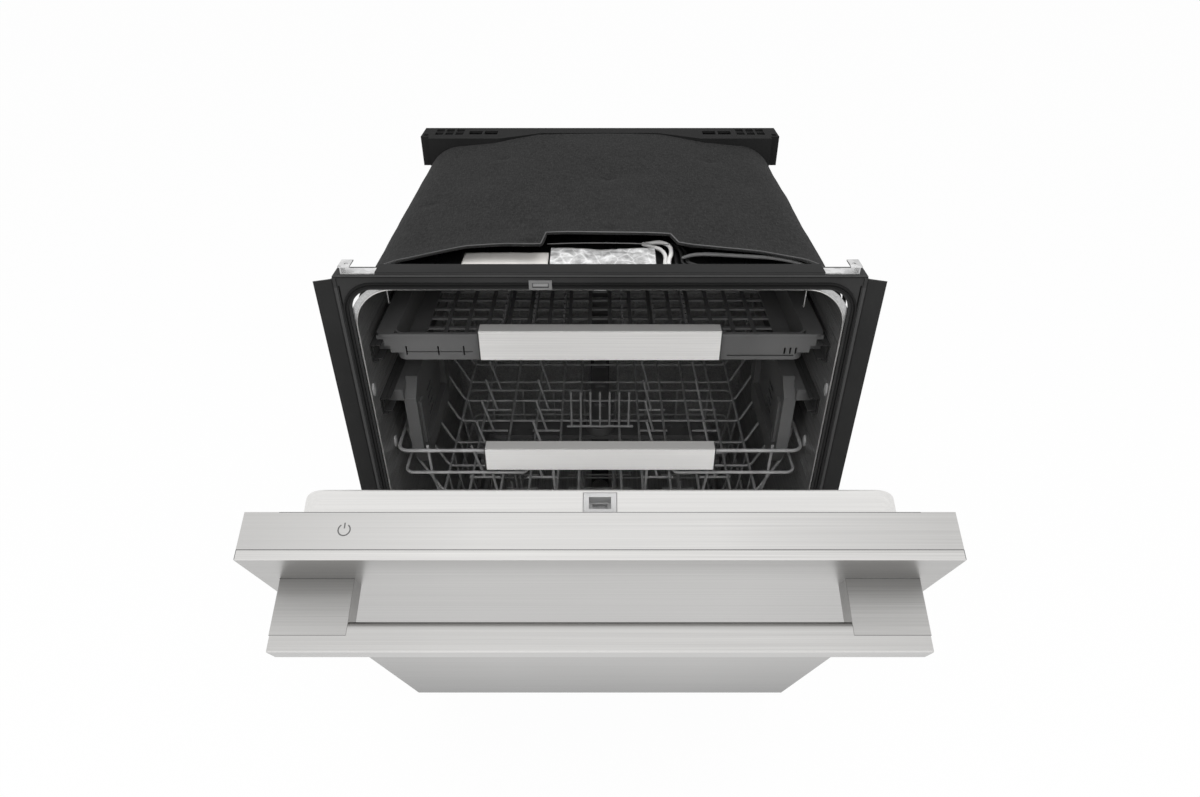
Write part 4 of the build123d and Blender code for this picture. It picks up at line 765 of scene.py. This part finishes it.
def makeBlanketHem(edge):
    # the cut edge along the front, the tub felt's second line in the notch, and the rolled hem on
    # the right, which thins out at both ends; all three are pale grey as a painted highlight on the felt's
    # edges
    lines = edge + np.array(hem["drop"]), easedPath(np.array(hem["second"]) * mm, 3)
    rims = [sweepSection(line, roundedRect(*hem["rim"]), reference=(0, 0.1, 1.0)) for line in lines]
    makePiece("blanketEdge", rims, finishes["feltEdgeHighlight"], "cabinet")
    line = easedPath(np.array(hem["rolled"]) * mm, 3)
    ends = np.linspace(-1, 1, len(line))
    rolled = sweepSection(line, roundedRect(*hem["roll"]), reference=(0, 1.0, 0.3),
                          grow=0.35 + 0.65 * np.sqrt(1 - 0.97 * ends**2))
    makePiece("blanketHem", [rolled], finishes["feltEdgeHighlight"], "cabinet")


makeBlanketHem(makeBlanket())
print("blanket made")

# papers under the blanket's front edge
papers = {
    "card": {"x": (-0.167, -0.063), "y": (0.031, 0.101), "z": 0.8232, "skin": 0.0008, "bow": 0.0006,
             "uneven": 0.0003},
    "film": {"x": (-0.060, 0.067), "y": (0.034, 0.0985), "z": 0.8240, "skin": 0.0005, "crumple": 0.0042,
             "rise": 0.0072, "riseFrom": 0.040, "riseOver": 0.045, "sag": (0.55, 0.45), "middle": 0.002,
             "reach": 0.062, "wander": 0.006, "creases": (0.017, 0.008)},
}


def makePapers():
    # a stiff card with a slight bow, and a film sleeve whose height is folded noise
    card = papers["card"]
    u, v = np.meshgrid(np.linspace(*card["x"], 40), np.linspace(*card["y"], 30), indexing="ij")
    share = (u - card["x"][0]) / (card["x"][1] - card["x"][0])
    z = card["z"] + card["bow"] * np.sin(share * np.pi) + card["uneven"] * (lumps(u, v, 0.03, 2.0) - 0.5)
    flat = makePiece("cardStrip", [surface(np.stack([u, v, z], -1))], finishes["paleCard"], "cabinet",
                     closed=False)
    wall = flat.modifiers.new("cardThickness", "SOLIDIFY")
    wall.thickness = card["skin"]
    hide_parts("document_pouch")
    film = papers["film"]
    u, v = np.meshgrid(np.linspace(*film["x"], 150), np.linspace(*film["y"], 80), indexing="ij")
    bentU, bentV = (part + film["wander"] * lumps(u, v, 0.02, seed) for part, seed in ((u, 5.0), (v, 9.0)))
    broad, fine = film["creases"]
    fold = np.abs(lumps(bentU, bentV, broad, 1.0) - 0.5) + 0.5 * np.abs(lumps(bentU, bentV, fine, 4.0) - 0.5)
    edge = np.minimum(np.minimum(u - film["x"][0], film["x"][1] - u),
                      np.minimum(v - film["y"][0], film["y"][1] - v))
    share = np.clip((v - film["riseFrom"]) / film["riseOver"], 0, 1)
    sag = film["sag"][0] + film["sag"][1] * np.abs(u - film["middle"]) / film["reach"]
    rise = film["rise"] * share * share * (3 - 2 * share) * sag * (0.85 + 0.3 * lumps(u, v * 0, 0.03, 6.0))
    z = film["z"] + rise + film["crumple"] * fold * np.clip(0.35 + edge / 0.008, 0, 1)
    sleeve = makePiece("filmSleeve", [surface(np.stack([u, v, z], -1))], finishes["crumpledFilm"], "cabinet",
                       closed=False, angle=25.0)
    wall = sleeve.modifiers.new("filmThickness", "SOLIDIFY")
    wall.thickness = film["skin"]
    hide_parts("document_pouch")


makePapers()
print("papers made")

# wiring along the tub's top and down its side
harness = {
    "white": {"radius": 0.0026, "finish": "cableWhite", "runs": (
        ((58, 121, 826), (68, 116, 830), (77, 111, 832.5), (86, 101, 832.5), (87, 81, 831), (81, 62, 828.4),
         (84, 46, 826), (110, 36, 825.4), (180, 33.5, 825.4), (240, 33.5, 825.4)),
        ((54, 120, 826.4), (66, 108, 827.4), (76, 98, 828.4), (80.5, 81, 826.8), (77, 62, 825.6),
         (80, 40, 826), (110, 30, 827.4), (140, 29, 828), (200, 27.5, 829), (236, 27, 830)))},
    "black": {"radius": 0.0024, "finish": "cableBlack", "runs": (
        ((90, 119, 826), (94, 104, 829.4), (98, 90, 830.4), (99.5, 76, 829), (98, 62, 826.4),
         (112, 44, 825.6), (150, 27.5, 826), (200, 27, 829), (254, 27, 832), (280, 27, 828),
         (289, 27, 800), (289.2, 27, 740), (289.2, 27, 500), (289.2, 27, 225)),
        ((85, 120, 826), (88, 106, 826), (92, 92, 826), (92.5, 76, 825.8), (91, 60, 825.6), (98, 40, 827),
         (130, 36, 830), (170, 34, 830.5), (236, 30, 827), (262, 27.5, 825)),
        ((96, 118, 826), (101, 104, 828.5), (104.5, 88, 828.8), (105, 70, 828), (104, 56, 829.5),
         (130, 44, 828.6), (180, 38, 828), (240, 33, 827)))},
}


def makeHarness():
    # round leads along eased lines
    for colour, lead in harness.items():
        lines = [easedPath(np.array(run) * mm) for run in lead["runs"]]
        section = circle(lead["radius"], 14)
        patches = [sweepSection(line, section, reference=(0.31, 1.0, 0.23)) for line in lines]
        piece = makePiece(colour + "Leads", patches, finishes[lead["finish"]], "cabinet")
        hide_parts("wiring_harness")


makeHarness()
print("wiring made")

# door springs: an eye on the hinge arm, a link, the coil and a hook on the base wall
springs = {"x": 0.2922, "eye": (8.3, 186.5), "end": (276.0, 330.0, 50.0), "coil": (0.140, 0.290),
           "turns": 34, "coilRadius": 0.0050, "wire": 0.0010, "ease": 0.004, "eyeRadius": 0.0045,
           "eyeWire": 0.0012, "tail": 0.002, "post": 0.003, "postX": (-0.005, 0.2935)}


def makeSprings():
    # a helix whose radius eases to nothing at both ends, on a straight link, with its eye and its post
    start = np.array([springs["x"], springs["eye"][0] * mm, springs["eye"][1] * mm])
    end = np.array(springs["end"]) * mm
    run = end - start
    length = np.linalg.norm(run)
    run /= length
    side = np.cross(run, [1.0, 0, 0])
    side /= np.linalg.norm(side)
    other = np.cross(run, side)
    t = np.linspace(springs["eyeRadius"], length - springs["tail"], springs["turns"] * 18)
    low, high = springs["coil"]
    phase = np.clip((t - low) / (high - low), 0, 1) * springs["turns"] * 2 * np.pi
    size = (springs["coilRadius"] * np.clip((t - low) / springs["ease"], 0, 1)
            * np.clip((high - t) / springs["ease"], 0, 1))
    line = (start + t[:, None] * run + (size * np.cos(phase))[:, None] * side
            + (size * np.sin(phase))[:, None] * other)
    patches = [sweepSection(line, circle(springs["wire"], 6), reference=(1.0, 0.05, 0.02))]
    ring = circle(springs["eyeRadius"], 28)
    eye = start + np.stack([0 * ring[:, 0], ring[:, 0], ring[:, 1]], 1)
    patches.append(sweepSection(eye, circle(springs["eyeWire"], 8), reference=(1.0, 0, 0), closedLine=True))
    post = np.array([[end[0] + springs["postX"][0], end[1], end[2]], [springs["postX"][1], end[1], end[2]]])
    patches.append(sweepSection(post, circle(springs["post"], 16), reference=(0, 0, 1.0)))
    for name, made in (("springRight", patches), ("springLeft", [mirrored(p) for p in patches])):
        piece = makePiece(name, made, finishes["springWire"], "cabinet")
        piece.parent = None
        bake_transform(piece)
        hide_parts("door_springs")


makeSprings()
print("springs made")

# door filling, a soft slab inside the door
filling = {"half": (0.281, 0.3395), "centre": (-0.0245, 0.4615), "thick": 0.0165, "outline": 0.14,
           "side": 0.10, "face": 0.35, "groove": 0.06, "grooveWidth": 0.12, "squares": 26}


def signedPower(value, power):
    # a power that keeps the sign
    return np.sign(value) * np.abs(value) ** power


def makeFilling():
    # a slab whose thickness falls off at its edges as a superellipse, quilted in broad squares
    u = np.linspace(0, 2 * np.pi, 140, endpoint=False)
    v = np.linspace(-np.pi / 2, np.pi / 2, 60)[:, None]
    rim = signedPower(np.cos(v), filling["side"])
    x = filling["half"][0] * signedPower(np.cos(u), filling["outline"]) * rim
    z = filling["half"][1] * signedPower(np.sin(u), filling["outline"]) * rim
    quilt = 1 - sum(filling["groove"] * (np.abs(np.sin(place * filling["squares"])) < filling["grooveWidth"])
                    for place in (x, z))
    y = filling["thick"] * signedPower(np.sin(v), filling["face"]) * quilt
    points = np.stack([x, filling["centre"][0] + y + 0 * x, filling["centre"][1] + z], -1)
    patch = onDoor(surface(points, wrapCols=True, capped=True))
    piece = makePiece("doorFilling", [patch], finishes["darkFelt"], "door", angle=60.0)
    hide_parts("door_insulation")


makeFilling()
print("door filling made")

# small details on the door and the cabinet
powerMark = {"x": -0.2145, "y": -0.018, "z": 0.848, "radius": 0.0050, "arc": (125, 415),
             "bar": (0.0012, 0.0062), "wide": 0.00055, "proud": 0.00008}


def makePowerMark():
    # a ring open at the top with a bar in its gap, printed on the console's top face
    x, y, top = powerMark["x"], powerMark["y"], powerMark["z"] + powerMark["proud"] / 2
    a = np.radians(np.linspace(*powerMark["arc"], 48))
    ring = np.stack([x + powerMark["radius"] * np.cos(a), y + powerMark["radius"] * np.sin(a),
                     np.full_like(a, top)], -1)
    thin = roundedRect(powerMark["wide"], powerMark["proud"] / 2, 0.00003, 2)
    bar = np.array([[x, y + end, top] for end in powerMark["bar"]])
    patches = [onDoor(sweepSection(ring, thin)), onDoor(sweepSection(bar, thin))]
    makePiece("powerMark", patches, finishes["printGrey"], "door")


upward, inward = (0, 0, 1.0), (0, 1.0, 0)
doorLines = {  # on the closed door in millimetres: start, end, width, height and way up
    "seams": (((-301.4, -35.3, 848.0), (301.4, -35.3, 848.0), 0.7, 0.10, upward),
              # the console's rear joint, darkened as painted shadow of the step down to the liner
              ((-272.0, -2.6, 848.0), (272.0, -2.6, 848.0), 0.5, 0.10, upward)),
    "pairs": (((301.2, -35.4, 848.0), (301.2, -43.6, 848.0), 0.5, 0.10, upward),
              ((217.3, -93.0, 793.0), (283.2, -93.0, 793.0), 0.35, 0.10, upward),
              ((217.0, -44.06, 793.2), (283.4, -44.06, 793.2), 0.5, 0.12, inward)),
    # painted highlights: bright lines along the panel's top edge and the bar's outer edge
    "highlights": (((-301.4, -43.9, 848.02), (301.4, -43.9, 848.02), 0.5, 0.14, upward),
                   ((-281.0, -106.2, 793.0), (281.0, -106.2, 793.0), 0.5, 0.12, upward)),
}


def lineBox(start, end, wide, tall, up, side=1):
    # a thin straight inlay between two points, on the right for side 1 and mirrored for side -1
    line = np.array([start, end]) * mm * np.array([side, 1, 1])
    return onDoor(sweepSection(line, roundedRect(wide * mm / 2, tall * mm / 2, 0.00002, 2), reference=up))


def makeDoorLines():
    # the gap between console and panel, the console's rear joint darkened as painted shadow of the step down
    # to the liner, the folds at the panel's ends, the joints of brackets and bar, and painted highlights
    # along the bent edges of panel and bar
    seams = [lineBox(*line) for line in doorLines["seams"]]
    seams += [lineBox(*line, side=side) for side in (-1, 1) for line in doorLines["pairs"]]
    makePiece("doorSeams", seams, finishes["seamDark"], "door")
    paintedHighlights = [lineBox(*line) for line in doorLines["highlights"]]
    makePiece("doorHighlights", paintedHighlights, finishes["plugSteel"], "door")


tubEdge = {"x": 0.2845, "y": 0.0045, "low": 0.205, "high": 0.771, "corner": (0.050, 0.0505), "wire": 0.0011}


def makeTubEdge():
    # the bright bead round the tub's mouth, inside the gasket
    wide, tall = tubEdge["corner"]
    z = np.linspace(tubEdge["low"], tubEdge["high"], 60)
    left = np.stack([np.full_like(z, -tubEdge["x"]), np.full_like(z, tubEdge["y"]), z], -1)
    a = np.linspace(np.pi, np.pi / 2, 16)[1:]
    corner = np.stack([wide - tubEdge["x"] + wide * np.cos(a), np.full_like(a, tubEdge["y"]),
                       tubEdge["high"] + tall * np.sin(a)], -1)
    half = np.concatenate([left, corner])
    line = np.concatenate([half, half[::-1] * np.array([-1.0, 1, 1])])
    bead = sweepSection(line, circle(tubEdge["wire"], 10), reference=(0, 1.0, 0))
    makePiece("tubEdge", [bead], finishes["plugSteel"], "cabinet")


wallPlugs = {"places": ((0.016, 0.676), (0.060, 0.560), (0.016, 0.440)), "wall": -0.284, "oval": 1.7,
             "profile": ((0.0001, 0.0), (0.0055, 0.0), (0.0052, 0.0011), (0.0035, 0.0018), (0.0001, 0.0020))}
hooks = {"places": ((-0.2535, 0.784), (0.2455, 0.779)), "y": 0.040, "top": 0.8208, "wire": 0.0007}


def makeWallPlugs():
    # oval plugs on both tub walls
    patches = []
    for y, z in wallPlugs["places"]:
        points, faces = turned(wallPlugs["profile"], (0, 0, 0), (1.0, 0, 0))
        points = points * np.array([1.0, 1.0, wallPlugs["oval"]]) + np.array([wallPlugs["wall"], y, z])
        patches += [(points, faces), mirrored((points, faces))]
    makePiece("wallPlugs", patches, finishes["housingGrey"], "cabinet")


def makeHooks():
    # small wire hooks that hang from the ceiling behind the frame
    patches, y = [], hooks["y"]
    for x, low in hooks["places"]:
        line = [(x, y, hooks["top"]), (x, y, low + 0.003), (x, y + 0.001, low), (x, y + 0.005, low)]
        patches.append(sweepSection(easedPath(line, 2), circle(hooks["wire"], 8), reference=(1.0, 0, 0.1)))
    makePiece("ceilingHooks", patches, finishes["plugSteel"], "cabinet")


handleEnds = {  # millimetres
    "trayHandleEnds": {"body": "tray", "half": 150.0, "z": (704.0, 746.0)},
    "upperHandleEnds": {"body": "upper_rack", "half": 157.5, "z": (524.0, 561.0)},
}
capShape = {"y": (40.6, 57.0), "beside": 0.9, "thick": 0.0009, "round": 0.0004}


def makeHandleEnds():
    # dark caps that close the ends of the folded rack handles
    for name, handle in handleEnds.items():
        low, high = handle["z"]
        section = roundedRect(capShape["thick"], (high - low) / 2 * mm, capShape["round"], 3)
        patches = []
        for side in (-1, 1):
            x = side * (handle["half"] + capShape["beside"])
            line = np.array([(x, y, (low + high) / 2) for y in capShape["y"]]) * mm
            patches.append(sweepSection(line, section))
        makePiece(name, patches, finishes["darkPlastic"], handle["body"])


makePowerMark()
makeDoorLines()
makeHandleEnds()
makeTubEdge()
makeWallPlugs()
makeHooks()
print("details made")

# floor
floorMesh = bpy.data.meshes.new("studioFloor")
reach = studio["floorHalf"]
floorMesh.from_pydata([(-reach, -reach, 0), (reach, -reach, 0), (reach, reach, 0), (-reach, reach, 0)], [],
                      [(0, 1, 2, 3)])
floorFinish, floorTree, floorShader, _ = startFinish("studioFloor")
setShader(floorShader, Base_Color=grey(studio["floorGrey"]), Roughness=0.9, Specular_IOR_Level=0.0)
glow = addNode(floorTree, "ShaderNodeEmission", {"Color": (1, 1, 1, 1), "Strength": 1.0}).outputs[0]
share = calc(floorTree, "MULTIPLY", lookedAt(floorTree), studio["floorGlow"])
blend = addNode(floorTree, "ShaderNodeMixShader", {0: share, 1: floorShader.outputs[0], 2: glow})
floorTree.links.new(blend.outputs[0], floorTree.nodes["Material Output"].inputs["Surface"])
floorMesh.materials.append(floorFinish)
floor = bpy.data.objects.new("studioFloor", floorMesh)
scene.collection.objects.link(floor)

print("scene ready")
